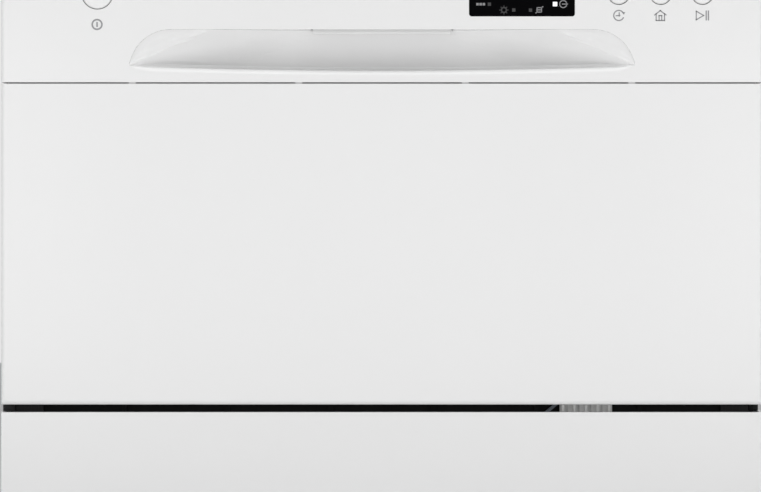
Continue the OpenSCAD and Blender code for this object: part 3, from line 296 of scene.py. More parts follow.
def black_plastic_and_shade(name, tone):
    """Black plastic without a sheen, for the beam in the shade of the slot; its low tone is partly
    the part's own black and partly painted shade.
    """
    g = Graph(name)
    colour = g.mix(g.noise(25.0, 3.0), (tone * 0.8,) * 3, (tone, tone, tone * 1.06))
    return g.finish({"Base Color": colour, "Roughness": 0.6 + g.noise(80.0, 2.0) * 0.12,
                     "Normal": g.bump(g.noise(900.0, 3.0), 0.00006, 0.6),
                     "Specular IOR Level": 0.15})


def guide_painted_light():
    """White moulding with shallow grooves across it; its white is raised as painted light against
    the slot's shade, and its grooves are darkened as painted shade.
    """
    g = Graph("guide_painted_light")
    _, x, _, _ = g.place()
    groove_shade = 1 - (x.repeat(8.4 * MM) / (1.1 * MM)).clamp()
    # Painted light and shade: near-full white between the grooves, darker grey in them
    colour = g.mix(groove_shade, (0.95, 0.95, 0.94), (0.62, 0.62, 0.62))
    return g.finish({"Base Color": colour, "Roughness": 0.4 + g.noise(80.0, 2.0) * 0.1,
                     "Normal": g.bump(1 - groove_shade, 0.0005, 0.6)})


def clear_plastic(name, tone, alpha):
    """Tinted moulding that lets some light through."""
    g = Graph(name)
    colour = g.mix(g.noise(20.0, 2.0), tuple(c * 0.93 for c in tone), tone)
    rough = 0.2 + g.noise(50.0, 2.0) * 0.06
    return g.finish({"Base Color": colour, "Roughness": rough, "Alpha": alpha,
                     "Normal": g.soft_edges(0.5 * MM), "Coat Weight": 0.2, "Coat Roughness": 0.1})


def moulded_rubber(name, tone):
    """Black rubber with a dusty, dry face."""
    g = Graph(name)
    dust = g.noise(30.0, 5.0)
    colour = g.mix(dust, tone, tuple(c + 0.018 for c in tone))
    normal = g.bump(g.noise(500.0, 3.0), 0.0001, 0.5, g.soft_edges(0.6 * MM))
    return g.finish({"Base Color": colour, "Roughness": 0.62 + dust * 0.2, "Normal": normal})


def coated_wire():
    """Steel wire in a thick grey nylon coat."""
    g = Graph("coated_wire")
    drip = g.noise(180.0, 3.0)
    colour = g.mix(drip, (0.5, 0.51, 0.53), (0.58, 0.59, 0.61))
    normal = g.bump(drip, 0.0001, 0.4)
    return g.finish({"Base Color": colour, "Roughness": 0.3 + drip * 0.1, "Normal": normal,
                     "Coat Weight": 0.2, "Coat Roughness": 0.15})


def display_glass():
    """Black display window, faintly smeared."""
    g = Graph("display_glass")
    smear = g.noise(22.0, 4.0)
    colour = g.mix(smear, (0.0008, 0.0008, 0.001), (0.0016, 0.0016, 0.002))
    return g.finish({"Base Color": colour, "Roughness": 0.2 + smear * 0.05,
                     "Normal": g.soft_edges(0.4 * MM), "Specular IOR Level": 0.02})


def printed_ink(name, tone):
    """Pad printed ink, a little uneven at its edge."""
    g = Graph(name)
    colour = g.mix(g.noise(2500.0, 2.0), tuple(c * 0.92 for c in tone), tone)
    return g.finish({"Base Color": colour, "Roughness": 0.45 + g.noise(800.0, 2.0) * 0.08})


def lit_mark(name, tone, glow):
    """A mark behind the display window, lit or resting; on a resting mark its glow is a painted
    glow.
    """
    g = Graph(name)
    colour = g.mix(g.noise(1500.0, 2.0), tuple(c * 0.9 for c in tone), tone)
    return g.finish({"Base Color": colour, "Roughness": 0.4, "Emission Color": colour,
                     "Emission Strength": glow})


def filter_mesh():
    """Plastic cup with the fine sieve of its wall drawn as small dimples, darkened with painted
    shade.
    """
    g = Graph("filter_mesh")
    _, x, y, z = g.place()
    holes = (x * 3200.0).sin() * (y * 3200.0).sin() + (z * 3200.0).sin() * 0.7
    dimple_shade = (holes * 1.4).clamp()
    # Painted shade: each dimple of the sieve is coloured darker
    colour = g.mix(dimple_shade, (0.2, 0.21, 0.22), (0.06, 0.065, 0.07))
    return g.finish({"Base Color": colour, "Roughness": 0.45,
                     "Normal": g.bump(1 - dimple_shade, 0.0002, 0.6)})


def spring_coils():
    """Steel wire wound turn against turn, drawn along the sloping spring, with painted shade in the
    crevices between turns.
    """
    g = Graph("spring_coils")
    coordinates = g.node("ShaderNodeTexCoord").out("Object")
    down = {0: coordinates, 1: (0.0, 0.9198, -0.3924)}
    along = g.node("ShaderNodeVectorMath", {"operation": "DOT_PRODUCT"}, down).out("Value")
    turn = (along * (2 * math.pi / 0.0016)).sin() * 0.5 + 0.5
    # Painted shade: colour darkens from each turn's crest into the crevice beside it
    colour = g.mix(turn, (0.16, 0.16, 0.17), (0.5, 0.5, 0.52))
    normal = g.bump(turn, 0.0008)
    return g.finish({"Base Color": colour, "Roughness": 0.36, "Metallic": 1.0, "Normal": normal})


def perforated_plate():
    """Stainless strainer plate with rows of small round holes, drawn as spots of painted shade."""
    g = Graph("perforated_plate")
    _, x, y, _ = g.place()
    pitch = 2.6 * MM
    row = (x * (2 * math.pi / pitch)).sin() * (y * (2 * math.pi / pitch)).sin()
    holes = (abs(row) * 3.4 - 1.2).clamp()
    # Painted shade: the holes are coloured near-black
    colour = g.mix(holes, (0.6, 0.61, 0.62), (0.03, 0.03, 0.035))
    normal = g.bump(1 - holes, 0.0004)
    return g.finish({"Base Color": colour, "Roughness": 0.3, "Metallic": 0.9, "Normal": normal})


def circuit_board():
    """Green board with its copper tracks under the lacquer."""
    g = Graph("circuit_board")
    _, x, _, z = g.place()
    tracks = abs((x * 2400.0).sin() * (z * 2100.0).sin())
    colour = g.mix(tracks > 0.75, (0.02, 0.11, 0.05), (0.05, 0.22, 0.1))
    return g.finish({"Base Color": colour, "Roughness": 0.35})


def make_finishes():
    """Every finish by the record's slot name."""
    settings = bpy.context.scene.dishwasher_finishes
    white = tuple(settings.body_white)
    return {
        "white_plastic": white_moulding("white_plastic", white, 1400.0),
        "white_steel": white_enamel("white_steel", white),
        "button_plastic": white_moulding("button_plastic", tuple(c * 1.02 for c in white), 1600.0),
        "grey_steel": white_enamel("grey_steel", (0.5, 0.5, 0.5)),
        "stainless": brushed_stainless("stainless", (0.62, 0.63, 0.64), 0, 0.28),
        "zinc_steel": brushed_stainless("zinc_steel", (0.5, 0.51, 0.53), 2, 0.34),
        "black_plastic": dull_plastic("black_plastic", (0.022, 0.022, 0.024)),
        "grey_plastic": dull_plastic("grey_plastic", (0.13, 0.135, 0.14)),
        "pale_plastic": dull_plastic("pale_plastic", (0.66, 0.66, 0.65), 0.4),
        "smoke_plastic": clear_plastic("smoke_plastic", tuple(settings.basket_grey), 1.0),
        "blue_plastic": clear_plastic("blue_plastic", (0.05, 0.14, 0.32), 1.0),
        "rubber": moulded_rubber("rubber", (0.02, 0.02, 0.021)),
        "display_black": display_glass(),
        "board_green": circuit_board(),
        "coated_wire": coated_wire(),
        "wheel_plastic": dull_plastic("wheel_plastic", (0.3, 0.31, 0.33), 0.38),
    }


def dress(obj, material):
    """One material on a whole object."""
    obj.data.materials.clear()
    obj.data.materials.append(material)


# Mesh pieces


def new_piece(name, body, material, shape, smooth=False):
    """A mesh object made by shape(bm), that rides on a body."""
    bm = bmesh.new()
    shape(bm)
    bmesh.ops.recalc_face_normals(bm, faces=bm.faces)
    for face in bm.faces:
        face.smooth = smooth
    mesh = bpy.data.meshes.new(name)
    bm.to_mesh(mesh)
    bm.free()
    obj = bpy.data.objects.new(name, mesh)
    bpy.context.scene.collection.objects.link(obj)
    dress(obj, material)
    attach(obj, body)
    return obj


def prism(bm, outline, y, depth):
    """A closed plate with an outline in X and Z, its front at y."""
    front = [bm.verts.new((px, y, pz)) for px, pz in outline]
    back = [bm.verts.new((px, y + depth, pz)) for px, pz in outline]
    bm.faces.new(front)
    bm.faces.new(reversed(back))
    for i, vert in enumerate(front):
        j = (i + 1) % len(front)
        bm.faces.new((vert, back[i], back[j], front[j]))


def bridge(bm, this, following):
    """Faces all the way round between two rings of points."""
    count = len(this)
    for k in range(count):
        after = (k + 1) % count
        bm.faces.new((this[k], following[k], following[after], this[after]))


def from_centre(cx, cz, points):
    """Points given in millimetres from a centre."""
    return [(cx + px * MM, cz + pz * MM) for px, pz in points]


def ring_plate(bm, centre, outer, inner, y, depth, start=0.0, turn=360.0, steps=48):
    """A flat ring, or an arc of one, in the XZ plane."""
    whole = abs(turn - 360.0) < 0.01
    count = steps if whole else steps + 1
    rows = []
    for i in range(count):
        a = math.radians(start + turn * i / steps)
        ring = []
        for radius, depth_at in ((outer, 0), (outer, depth), (inner, depth), (inner, 0)):
            ring.append(bm.verts.new((centre[0] + radius * math.cos(a), y + depth_at,
                                      centre[1] + radius * math.sin(a))))
        rows.append(ring)
    for i in range(steps):
        bridge(bm, rows[i], rows[(i + 1) % count])
    if not whole:
        bm.faces.new(rows[0])
        bm.faces.new(reversed(rows[-1]))


def stroke(bm, points, width, y, depth):
    """A line of even width through points in the XZ plane, one plate for each stretch."""
    for (x0, z0), (x1, z1) in zip(points, points[1:]):
        length = math.hypot(x1 - x0, z1 - z0)
        dx, dz = (x1 - x0) / length * width / 2, (z1 - z0) / length * width / 2
        prism(bm, [(x0 - dx - dz, z0 - dz + dx), (x1 + dx - dz, z1 + dz + dx),
                   (x1 + dx + dz, z1 + dz - dx), (x0 - dx + dz, z0 - dz - dx)], y, depth)


def screw(bm, place, axis, radius, height):
    """A round-headed screw with a six-lobed recess."""
    turn = axis.to_track_quat("Z", "Y").to_matrix().to_4x4()
    spin = Matrix.Translation(place) @ turn
    lobes = 24
    profile = [(1.0, -0.3), (1.0, 0.35), (0.93, 0.72), (0.74, 0.95), (0.5, 1.0)]
    rings = []
    for radial, lift in profile:
        rings.append([(radius * radial, height * lift)] * lobes)
    star = [radius * (0.46 if i % 4 < 2 else 0.34) for i in range(lobes)]
    rings.append([(r, height) for r in star])
    rings.append([(r * 0.94, height * 0.3) for r in star])
    verts = []
    for ring in rings:
        row = []
        for i, (r, z) in enumerate(ring):
            a = 2 * math.pi * i / lobes
            row.append(bm.verts.new(spin @ Vector((r * math.cos(a), r * math.sin(a), z))))
        verts.append(row)
    for lower, upper in zip(verts, verts[1:]):
        bridge(bm, upper, lower)
    bm.faces.new(verts[-1])
    bm.faces.new(reversed(verts[0]))


def turned(bm, place, axis, profile, segments=48):
    """A turned ring: a closed profile of (radius, height) swept round an axis."""
    turn = axis.to_track_quat("Z", "Y").to_matrix().to_4x4()
    spin = Matrix.Translation(place) @ turn
    rows = []
    for i in range(segments):
        a = 2 * math.pi * i / segments
        rows.append([bm.verts.new(spin @ Vector((r * math.cos(a), r * math.sin(a), z)))
                     for r, z in profile])
    for i in range(segments):
        bridge(bm, rows[i], rows[(i + 1) % segments])


# Printed icons on the fascia

INK_PROUD = 0.05 * MM
INK_DEPTH = 0.2 * MM
ICON_DROP = 15.8 * MM
POWER_ICON_DROP = 22.3 * MM
ICON_LINE = 0.8 * MM


def power_icon(bm):
    """A ring with an upright bar in it, under the power button."""
    centre = middle(POWER_BOX)
    cx, cz = centre.x - 0.2 * MM, centre.z - POWER_ICON_DROP
    y = FACE_Y - INK_PROUD
    ring_plate(bm, (cx, cz), 4.1 * MM, 2.9 * MM, y, INK_DEPTH)
    stroke(bm, from_centre(cx, cz, ((0, -1.3), (0, 1.3))), 1.1 * MM, y, INK_DEPTH)


def clock_icon(bm):
    """A clock face whose rim ends in an arrow, under the delay button."""
    centre = middle(DELAY_BOX)
    cx, cz = centre.x, centre.z - ICON_DROP
    y = FACE_Y - INK_PROUD
    ring_plate(bm, (cx, cz), 4.1 * MM, 3.2 * MM, y, INK_DEPTH, 28, 312, 44)
    prism(bm, from_centre(cx, cz, ((2.2, 2.3), (4.7, 2.5), (3.7, 0.5))), y, INK_DEPTH)
    for hand in ((0.3, 1.9), (0.3, -0.4)), ((0.7, 0), (-1.9, -0.2)):
        stroke(bm, from_centre(cx, cz, hand), ICON_LINE, y, INK_DEPTH)


def house_icon(bm):
    """A house outline with a door, under the program button."""
    centre = middle(PROGRAM_BOX)
    cx, cz = centre.x - 0.2 * MM, centre.z - ICON_DROP
    y = FACE_Y - INK_PROUD
    lines = ([(-4.1, 0.4), (0.2, 3.6)], [(-0.2, 3.6), (4.1, 0.4)],
             [(-3.0, 1.2), (-3.0, -3.6), (3.0, -3.6), (3.0, 1.2)],
             [(-0.9, -3.4), (-0.9, -0.1), (1.0, -0.1), (1.0, -3.4)])
    for line in lines:
        stroke(bm, from_centre(cx, cz, line), ICON_LINE, y, INK_DEPTH)


def play_icon(bm):
    """A triangle and two bars, under the start button."""
    centre = middle(START_BOX)
    cx, cz = centre.x, centre.z - ICON_DROP
    y = FACE_Y - INK_PROUD
    triangle = ((-4.5, 3.1), (-4.5, -3.1), (0.9, 0), (-4.5, 3.1))
    stroke(bm, from_centre(cx, cz, triangle), ICON_LINE, y, INK_DEPTH)
    for shift in (2.7, 4.3):
        stroke(bm, from_centre(cx, cz, ((shift, -3.1), (shift, 3.1))), 0.95 * MM, y, INK_DEPTH)


# Marks on the display window

MARK_PROUD = 0.05 * MM


def mark_place(right, drop):
    """A place on the window, in millimetres from its left edge and its lower edge."""
    return DISPLAY_BOX[0].x + right * MM, DISPLAY_BOX[0].z + drop * MM


def square_mark(bm, place, half, y):
    """A filled square on the window."""
    cx, cz = place
    prism(bm, [(cx - half, cz - half), (cx + half, cz - half), (cx + half, cz + half),
               (cx - half, cz + half)], y, INK_DEPTH)


def rested_marks(bm):
    """Dim marks that show on the window when it rests, by a painted glow."""
    y = DISPLAY_BOX[0].y - MARK_PROUD
    for right, up in ((14.6, 8.7), (32.2, 4.5), (44.3, 4.4)):
        square_mark(bm, mark_place(right, up), 1.2 * MM, y)
    cx, cz = mark_place(25.1, 4.5)
    ring_plate(bm, (cx, cz), 2.3 * MM, 1.3 * MM, y, INK_DEPTH)
    for i in range(8):
        a = math.radians(45 * i)
        ray = [(r * math.cos(a), r * math.sin(a)) for r in (2.2, 3.0)]
        stroke(bm, from_centre(cx, cz, ray), 0.6 * MM, y, INK_DEPTH)


def soft_marks(bm):
    """Grey marks: a row of blocks, a box with two tails and an arrow leaving a ring."""
    y = DISPLAY_BOX[0].y - MARK_PROUD
    for step in range(3):
        square_mark(bm, mark_place(6.0 + step * 2.3, 8.7), 0.9 * MM, y)
    cx, cz = mark_place(50.6, 4.6)
    for line in ([(-1.6, -1.6), (1.6, -1.6), (1.6, 1.6), (-1.6, 1.6), (-1.6, -1.6)],
                 [(1.6, 1.6), (2.5, 2.3)], [(-1.6, -1.6), (-2.4, -2.2)], [(-0.7, 0), (0.7, 0)]):
        stroke(bm, from_centre(cx, cz, line), 0.75 * MM, y, INK_DEPTH)
    cx, cz = mark_place(67.9, 8.8)
    ring_plate(bm, (cx, cz), 2.9 * MM, 2.2 * MM, y, INK_DEPTH, 25, 310, 36)
    stroke(bm, from_centre(cx, cz, ((-0.6, 0), (2.6, 0))), 0.7 * MM, y, INK_DEPTH)
    prism(bm, from_centre(cx, cz, ((2.1, 1.3), (2.1, -1.3), (3.5, 0))), y, INK_DEPTH)


def lit_marks(bm):
    """The lit square at the window's right."""
    y = DISPLAY_BOX[0].y - MARK_PROUD
    square_mark(bm, mark_place(62.0, 8.8), 1.55 * MM, y)


# Screws and turned details

SHEET_SCREW = (3.6 * MM, 1.6 * MM)
REAR_SCREW = (3.6 * MM, 2 * MM)
LINER_SCREW = (3.2 * MM, 1.6 * MM)
FRAME_SCREW = (3.2 * MM, 1.4 * MM)
CONNECTOR_Z = 62 * MM
INLET_X = -150 * MM
DRAIN_X = -90 * MM


def liner_screws(bm):
    """Screws round the border of the liner."""
    low, high = LINER_BOX
    y = high.y - 0.1 * MM
    border = 6 * MM
    out = Vector((0, 1, 0))
    for share in (0.12, 0.37, 0.63, 0.88):
        x = low.x + (high.x - low.x) * share
        screw(bm, Vector((x, y, high.z - 4.5 * MM)), out, *LINER_SCREW)
    for share in (0.3, 0.55, 0.8):
        z = low.z + (high.z - low.z) * share
        for x in (low.x + border, high.x - border):
            screw(bm, Vector((x, y, z)), out, *LINER_SCREW)


def rear_screws(bm):
    """Screws round the edge of the rear panel."""
    low, high = REAR_BOX
    y = high.y - 1.5 * MM
    out = Vector((0, 1, 0))
    inset = 7 * MM
    for share in (0.06, 0.35, 0.65, 0.94):
        x = low.x + (high.x - low.x) * share
        screw(bm, Vector((x, y, high.z - inset)), out, *REAR_SCREW)
    for share in (0.34, 0.58, 0.8):
        z = low.z + (high.z - low.z) * share
        for x in (low.x + inset, high.x - inset):
            screw(bm, Vector((x, y, z)), out, *REAR_SCREW)


def inlet_thread(bm):
    """Thread ridges on the water inlet."""
    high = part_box("inlet_valve")[1]
    axis = Vector((0, 1, 0))
    ridge = [(12.9 * MM, -0.7 * MM), (13.6 * MM, 0), (12.9 * MM, 0.7 * MM), (12.5 * MM, 0)]
    for i in range(9):
        y = high.y - (1.8 + 1.9 * i) * MM
        turned(bm, Vector((INLET_X, y, CONNECTOR_Z)), axis, ridge)


def drain_barbs(bm):
    """Barbs on the drain spigot."""
    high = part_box("drain_outlet")[1]
    axis = Vector((0, 1, 0))
    barb = [(9.2 * MM, -2 * MM), (10.6 * MM, -2 * MM), (9.45 * MM, 2.2 * MM), (9.2 * MM, 2.2 * MM)]
    for i in range(4):
        y = high.y - (4 + 5 * i) * MM
        turned(bm, Vector((DRAIN_X, y, CONNECTOR_Z)), axis, barb)


def casing_screws(bm):
    """Screws along the foot of both casing sides."""
    low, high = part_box("outer_casing")
    sides = ((low.x + 0.1 * MM, Vector((-1, 0, 0))), (high.x - 0.1 * MM, Vector((1, 0, 0))))
    for share in (0.12, 0.52, 0.93):
        y = low.y + (high.y - low.y) * share
        for x, out in sides:
            screw(bm, Vector((x, y, low.z + 14 * MM)), out, *SHEET_SCREW)


def frame_screws(bm):
    """Screws of the front frame, either side of the latch and down both edges."""
    low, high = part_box("front_frame")
    y = low.y + 0.1 * MM
    out = Vector((0, -1, 0))
    for x in (-0.03, 0.03):
        screw(bm, Vector((x, y, high.z - 7 * MM)), out, *FRAME_SCREW)
    for z in (0.2, 0.32):
        for side in (-1, 1):
            screw(bm, Vector((side * (high.x - 7 * MM), y, z)), out, *FRAME_SCREW)


# Wash space

JET_RADIUS = 1.6 * MM
TINE_ROWS = (-150 * MM, -100 * MM, -20 * MM, 30 * MM)
CLIP_SIDES = 20


def spray_jets(bm):
    """A raised rim round each jet of the spray arm."""
    low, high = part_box("spray_arm")
    hub = middle((low, high))
    reach = (high.x - low.x) / 2
    face = high.z - 3 * MM
    up = Vector((0, 0, 1))
    rim = [(JET_RADIUS, -0.4 * MM), (JET_RADIUS + 1.3 * MM, -0.4 * MM),
           (JET_RADIUS + 1.1 * MM, 0.5 * MM), (JET_RADIUS + 0.5 * MM, 0.8 * MM),
           (JET_RADIUS, 0.6 * MM)]
    for side in (-1, 1):
        for i in range(2, 8):
            across = 5 * MM if i % 2 == 0 else -5 * MM
            out = side * i * (reach - 20 * MM) / 7.4
            turned(bm, Vector((hub.x + out, hub.y + side * across, face)), up, rim, 24)


def arm_spine(bm):
    """A raised rib along the middle of both wings of the spray arm."""
    low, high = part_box("spray_arm")
    hub = middle((low, high))
    face = high.z - 3 * MM
    reach = (high.x - low.x) / 2
    for side in (-1, 1):
        rows = []
        for i in range(25):
            t = i / 24
            x = hub.x + side * (26 * MM + (reach - 36 * MM) * t)
            half = (2.3 - 0.9 * t) * MM
            lift = 1.3 * MM * min(1, 8 * t, 8 * (1 - t)) ** 0.5
            rows.append([bm.verts.new((x, hub.y - half, face - 0.3 * MM)),
                         bm.verts.new((x, hub.y - half * 0.5, face + lift)),
                         bm.verts.new((x, hub.y + half * 0.5, face + lift)),
                         bm.verts.new((x, hub.y + half, face - 0.3 * MM))])
        for this, following in zip(rows, rows[1:]):
            bridge(bm, this, following)
        bm.faces.new(rows[0])
        bm.faces.new(reversed(rows[-1]))


def strainer(bm):
    """Dished plate round the filter cup."""
    low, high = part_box("filter_cup")
    centre = middle((low, high))
    top = high.z - 2 * MM
    inner = (high.x - low.x) / 2 + 0.4 * MM
    outer = inner + 27 * MM
    profile = [(inner, top - 2.6 * MM), (inner, top - 1.9 * MM), (inner + 9 * MM, top - 1.9 * MM),
               (outer - 3 * MM, top - 1.5 * MM), (outer, top - 2.2 * MM), (outer, top - 2.9 * MM)]
    turned(bm, Vector((centre.x, centre.y, 0)), Vector((0, 0, 1)), profile, 96)


def tine_clips(bm):
    """Clips that hold the tine rows down on the cross wires of the rack floor."""
    low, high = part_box("rack_tines")
    wire = low.z + 1.7 * MM
    for x in TINE_ROWS:
        for y in (low.y + 10 * MM, high.y - 14 * MM):
            rows = []
            for step, size in ((0, 0.86), (0.8, 1), (7.2, 1), (8, 0.86)):
                ring = []
                for i in range(CLIP_SIDES):
                    a = 2 * math.pi * i / CLIP_SIDES
                    wide = 3.9 * MM * size * math.copysign(abs(math.cos(a)) ** 0.6, math.cos(a))
                    tall = 4.4 * MM * size * math.copysign(abs(math.sin(a)) ** 0.6, math.sin(a))
                    ring.append(bm.verts.new((x + wide, y + step * MM, wire - 1.2 * MM + tall)))
                rows.append(ring)
            for this, following in zip(rows, rows[1:]):
                bridge(bm, following, this)
            bm.faces.new(rows[0])
            bm.faces.new(reversed(rows[-1]))


def shelf_cuffs(bm):
    """Cuffs round the hinge wire of the cup shelf."""
    low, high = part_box("cup_shelf")
    x = low.x + 2.4 * MM
    z = middle((low, high)).z
    cuff = [(2.3 * MM, -7 * MM), (3.6 * MM, -7 * MM), (4.1 * MM, -6.2 * MM), (4.1 * MM, 6.2 * MM),
            (3.6 * MM, 7 * MM), (2.3 * MM, 7 * MM)]
    for share in (0.2, 0.5, 0.8):
        y = low.y + (high.y - low.y) * share
        turned(bm, Vector((x, y, z)), Vector((0, 1, 0)), cuff, 32)


def rinse_lens(bm):
    """Round window that shows how full the rinse aid tank is."""
    low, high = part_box("dispenser_body")
    centre = middle((low, high))
    lens = [(0.05 * MM, 0.9 * MM), (2.4 * MM, 0.8 * MM), (4.2 * MM, 0.4 * MM),
            (4.6 * MM, -0.4 * MM), (0.05 * MM, -0.4 * MM)]
    turned(bm, Vector((38 * MM, high.y, centre.z + 22 * MM)), Vector((0, 1, 0)), lens, 40)


# Slot under the door


def slot_blocks(bm):
    """Dark grey moulded covers at both ends of the slot, rounded at their lower corner."""
    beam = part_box("harness_guide")[1]
    front, back = beam.y - 5.6 * MM, beam.y - 0.1 * MM
    top = beam.z - 0.2 * MM
    for side in (-1, 1):
        outline = [(246 * MM, top)]
        for i in range(9):
            a = math.radians(180 + 90 * i / 8)
            outline.append(((250 + 4 * math.cos(a)) * MM, top - 14 * MM + 4 * math.sin(a) * MM))
        outline += [(265.8 * MM, top - 18 * MM), (265.8 * MM, top)]
        outline = [(side * px, pz) for px, pz in outline]
        prism(bm, outline, front, back - front)
        for px in (250, 255, 260):
            rib = [(side * px * MM, top - 1 * MM), (side * px * MM, top - 12 * MM)]
            stroke(bm, rib, 1.2 * MM, front - 0.6 * MM, 1 * MM)


def slot_shade_plates(bm):
    """Dark plates of painted shade at the slot's ends, over the parts behind, the left one nearer
    to the front.
    """
    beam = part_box("harness_guide")[1]
    low, high = PLINTH_TOP + 0.1 * MM, beam.z + 0.2 * MM
    for far, y in ((-274.9 * MM, beam.y - 8 * MM), (273.9 * MM, beam.y + 9.5 * MM)):
        near = math.copysign(266.2 * MM, far)
        prism(bm, [(near, low), (far, low), (far, high), (near, high)], y, 1.5 * MM)


def guide_tongue(bm):
    """Sloping tongue beside the left end of the white harness guide."""
    low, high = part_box("harness_guide")
    outline = [(-4.2, 0.3), (-0.9, 0.3), (-7.9, -5.5), (-11.3, -5.5)]
    prism(bm, from_centre(low.x, high.z, outline), low.y + 2 * MM, 7.2 * MM)


# Settings


class DishwasherFinishes(bpy.types.PropertyGroup):
    """Colours that a user would change."""

    body_white: bpy.props.FloatVectorProperty(
        name="Body white", description="Colour of the enamel and the mouldings",
        default=(0.80, 0.80, 0.80), size=3, min=0, max=1, subtype="COLOR")
    basket_grey: bpy.props.FloatVectorProperty(
        name="Basket grey", description="Colour of the cutlery basket, cup shelf and dispenser lid",
        default=(0.33, 0.36, 0.4), size=3, min=0, max=1, subtype="COLOR")
    icon_grey: bpy.props.FloatVectorProperty(
        name="Icon grey", description="Colour of the printed icons",
        default=(0.29, 0.29, 0.3), size=3, min=0, max=1, subtype="COLOR")


class DishwasherStage(bpy.types.PropertyGroup):
    """Camera, light and floor."""

    camera_distance: bpy.props.FloatProperty(
        name="Camera distance", description="From the door face to the camera",
        default=4.0, min=1, unit="LENGTH")
    frame_width: bpy.props.FloatProperty(
        name="Frame width", description="Width of the door face that fills the picture",
        default=0.5493, min=0.1, unit="LENGTH")
    aim_x: bpy.props.FloatProperty(
        name="Aim right", description="Middle of the picture right of the centre line",
        default=-0.0011, unit="LENGTH")
    aim_z: bpy.props.FloatProperty(
        name="Aim height", description="Height of the picture's middle above the counter",
        default=0.216, unit="LENGTH")
    floor_tone: bpy.props.FloatVectorProperty(
        name="Floor", description="Colour of the floor",
        default=(0.84, 0.84, 0.84), size=3, min=0, max=1, subtype="COLOR")
    sky_strength: bpy.props.FloatProperty(
        name="Surroundings", description="Strength of the even light from all round",
        default=0.465, min=0)
    key_power: bpy.props.FloatProperty(
        name="Key light", description="Power of the large lamp above the front",
        default=10.6, min=0, unit="POWER")
    front_power: bpy.props.FloatProperty(
        name="Front light", description="Power of each low lamp beside the camera",
        default=6.1, min=0, unit="POWER")
    strip_power: bpy.props.FloatProperty(
        name="Strip light", description="Power of the narrow lamp above the door, for the lip",
        default=2.3, min=0, unit="POWER")
    bounce_power: bpy.props.FloatProperty(
        name="Bounce light",
        description="Power of the light that comes up off the counter in front",
        default=2.15, min=0, unit="POWER")
    fill_power: bpy.props.FloatProperty(
        name="Fill light", description="Power of each side lamp",
        default=3.8, min=0, unit="POWER")


# Operators


class DISHWASHER_OT_stage(bpy.types.Operator):
    """Camera at the photograph's angle, floor and soft light"""

    bl_idname = "dishwasher.stage"
    bl_label = "Stage"

    def execute(self, context):
        stage = context.scene.dishwasher_stage
        scene = context.scene
        scene.view_settings.view_transform = "Standard"
        self.add_camera(scene, stage)
        self.add_floor(scene, stage)
        self.add_world(scene, stage)
        self.add_lamps(scene, stage)
        return {"FINISHED"}

    def add_camera(self, scene, stage):
        """A long lens straight in front of the door."""
        data = bpy.data.cameras.new("front_camera")
        data.sensor_width = 36.0
        data.lens = data.sensor_width * stage.camera_distance / stage.frame_width
        data.clip_end = 50.0
        camera = bpy.data.objects.new("front_camera", data)
        camera.location = (stage.aim_x, FACE_Y - stage.camera_distance, stage.aim_z)
        camera.rotation_euler = (math.pi / 2, 0, 0)
        scene.collection.objects.link(camera)
        scene.camera = camera

    def add_floor(self, scene, stage):
        """A wide pale floor."""
        half = 6.0
        mesh = bpy.data.meshes.new("floor")
        mesh.from_pydata([(-half, -half, 0), (half, -half, 0), (half, half, 0), (-half, half, 0)],
                         [], [(0, 1, 2, 3)])
        floor = bpy.data.objects.new("floor", mesh)
        scene.collection.objects.link(floor)
        g = Graph("floor_paper")
        tone = tuple(stage.floor_tone)
        colour = g.mix(g.noise(3.0, 2.0), tuple(c * 0.98 for c in tone), tone)
        dress(floor, g.finish({"Base Color": colour, "Roughness": 0.7}))

    def add_world(self, scene, stage):
        """White where the camera, glossy and clear surfaces see it, softer as light."""
        world = bpy.data.worlds.new("white_room")
        world.use_nodes = True
        scene.world = world
        nodes, links = world.node_tree.nodes, world.node_tree.links
        nodes.clear()
        path = nodes.new("ShaderNodeLightPath")
        seen = path.outputs["Is Camera Ray"]
        for ray in ("Is Glossy Ray", "Is Transmission Ray"):
            either = nodes.new("ShaderNodeMath")
            either.operation = "MAXIMUM"
            links.new(seen, either.inputs[0])
            links.new(path.outputs[ray], either.inputs[1])
            seen = either.outputs[0]
        strength = nodes.new("ShaderNodeMapRange")
        strength.inputs["To Min"].default_value = stage.sky_strength
        strength.inputs["To Max"].default_value = 1.0
        links.new(seen, strength.inputs["Value"])
        background = nodes.new("ShaderNodeBackground")
        links.new(strength.outputs[0], background.inputs["Strength"])
        output = nodes.new("ShaderNodeOutputWorld")
        links.new(background.outputs[0], output.inputs[0])

    def add_lamps(self, scene, stage):
        """Lamps above, over the door, by the camera, low down, at the sides and behind."""
        key, front, fill = stage.key_power, stage.front_power, stage.fill_power
        lamps = (
            ("key", (0.0, -1.1, 1.75), (0.0, -0.1, 0.25), 1.8, 1.0, key),
            ("front_left", (-1.0, -3.0, 0.26), (0.0, -0.25, 0.2), 1.3, 0.44, front),
            ("front_right", (1.0, -3.0, 0.26), (0.0, -0.25, 0.2), 1.3, 0.44, front * 0.95),
            ("strip", (0.0, -0.36, 1.5), (0.0, -0.34, 0.3), 1.4, 0.12, stage.strip_power),
            ("bounce", (0.0, -0.85, 0.01), (0.0, -0.85, 1.0), 1.3, 0.9, stage.bounce_power),
            ("left", (-1.9, -1.0, 0.32), (0.0, 0.0, 0.25), 1.0, 0.6, fill),
            ("right", (1.9, -1.0, 0.32), (0.0, 0.0, 0.25), 1.0, 0.6, fill * 0.95),
            ("rear", (0.4, 1.8, 1.4), (0.0, 0.1, 0.25), 1.4, 1.0, fill * 0.35),
        )
        for name, place, aim, width, height, power in lamps:
            data = bpy.data.lights.new(name + "_lamp", "AREA")
            data.shape = "RECTANGLE"
            data.size = width
            data.size_y = height
            data.energy = power
            lamp = bpy.data.objects.new(name + "_lamp", data)
            lamp.location = place
            lamp.visible_camera = False
            ray = Vector(aim) - Vector(place)
            lamp.rotation_euler = ray.to_track_quat("-Z", "Y").to_euler()
            scene.collection.objects.link(lamp)


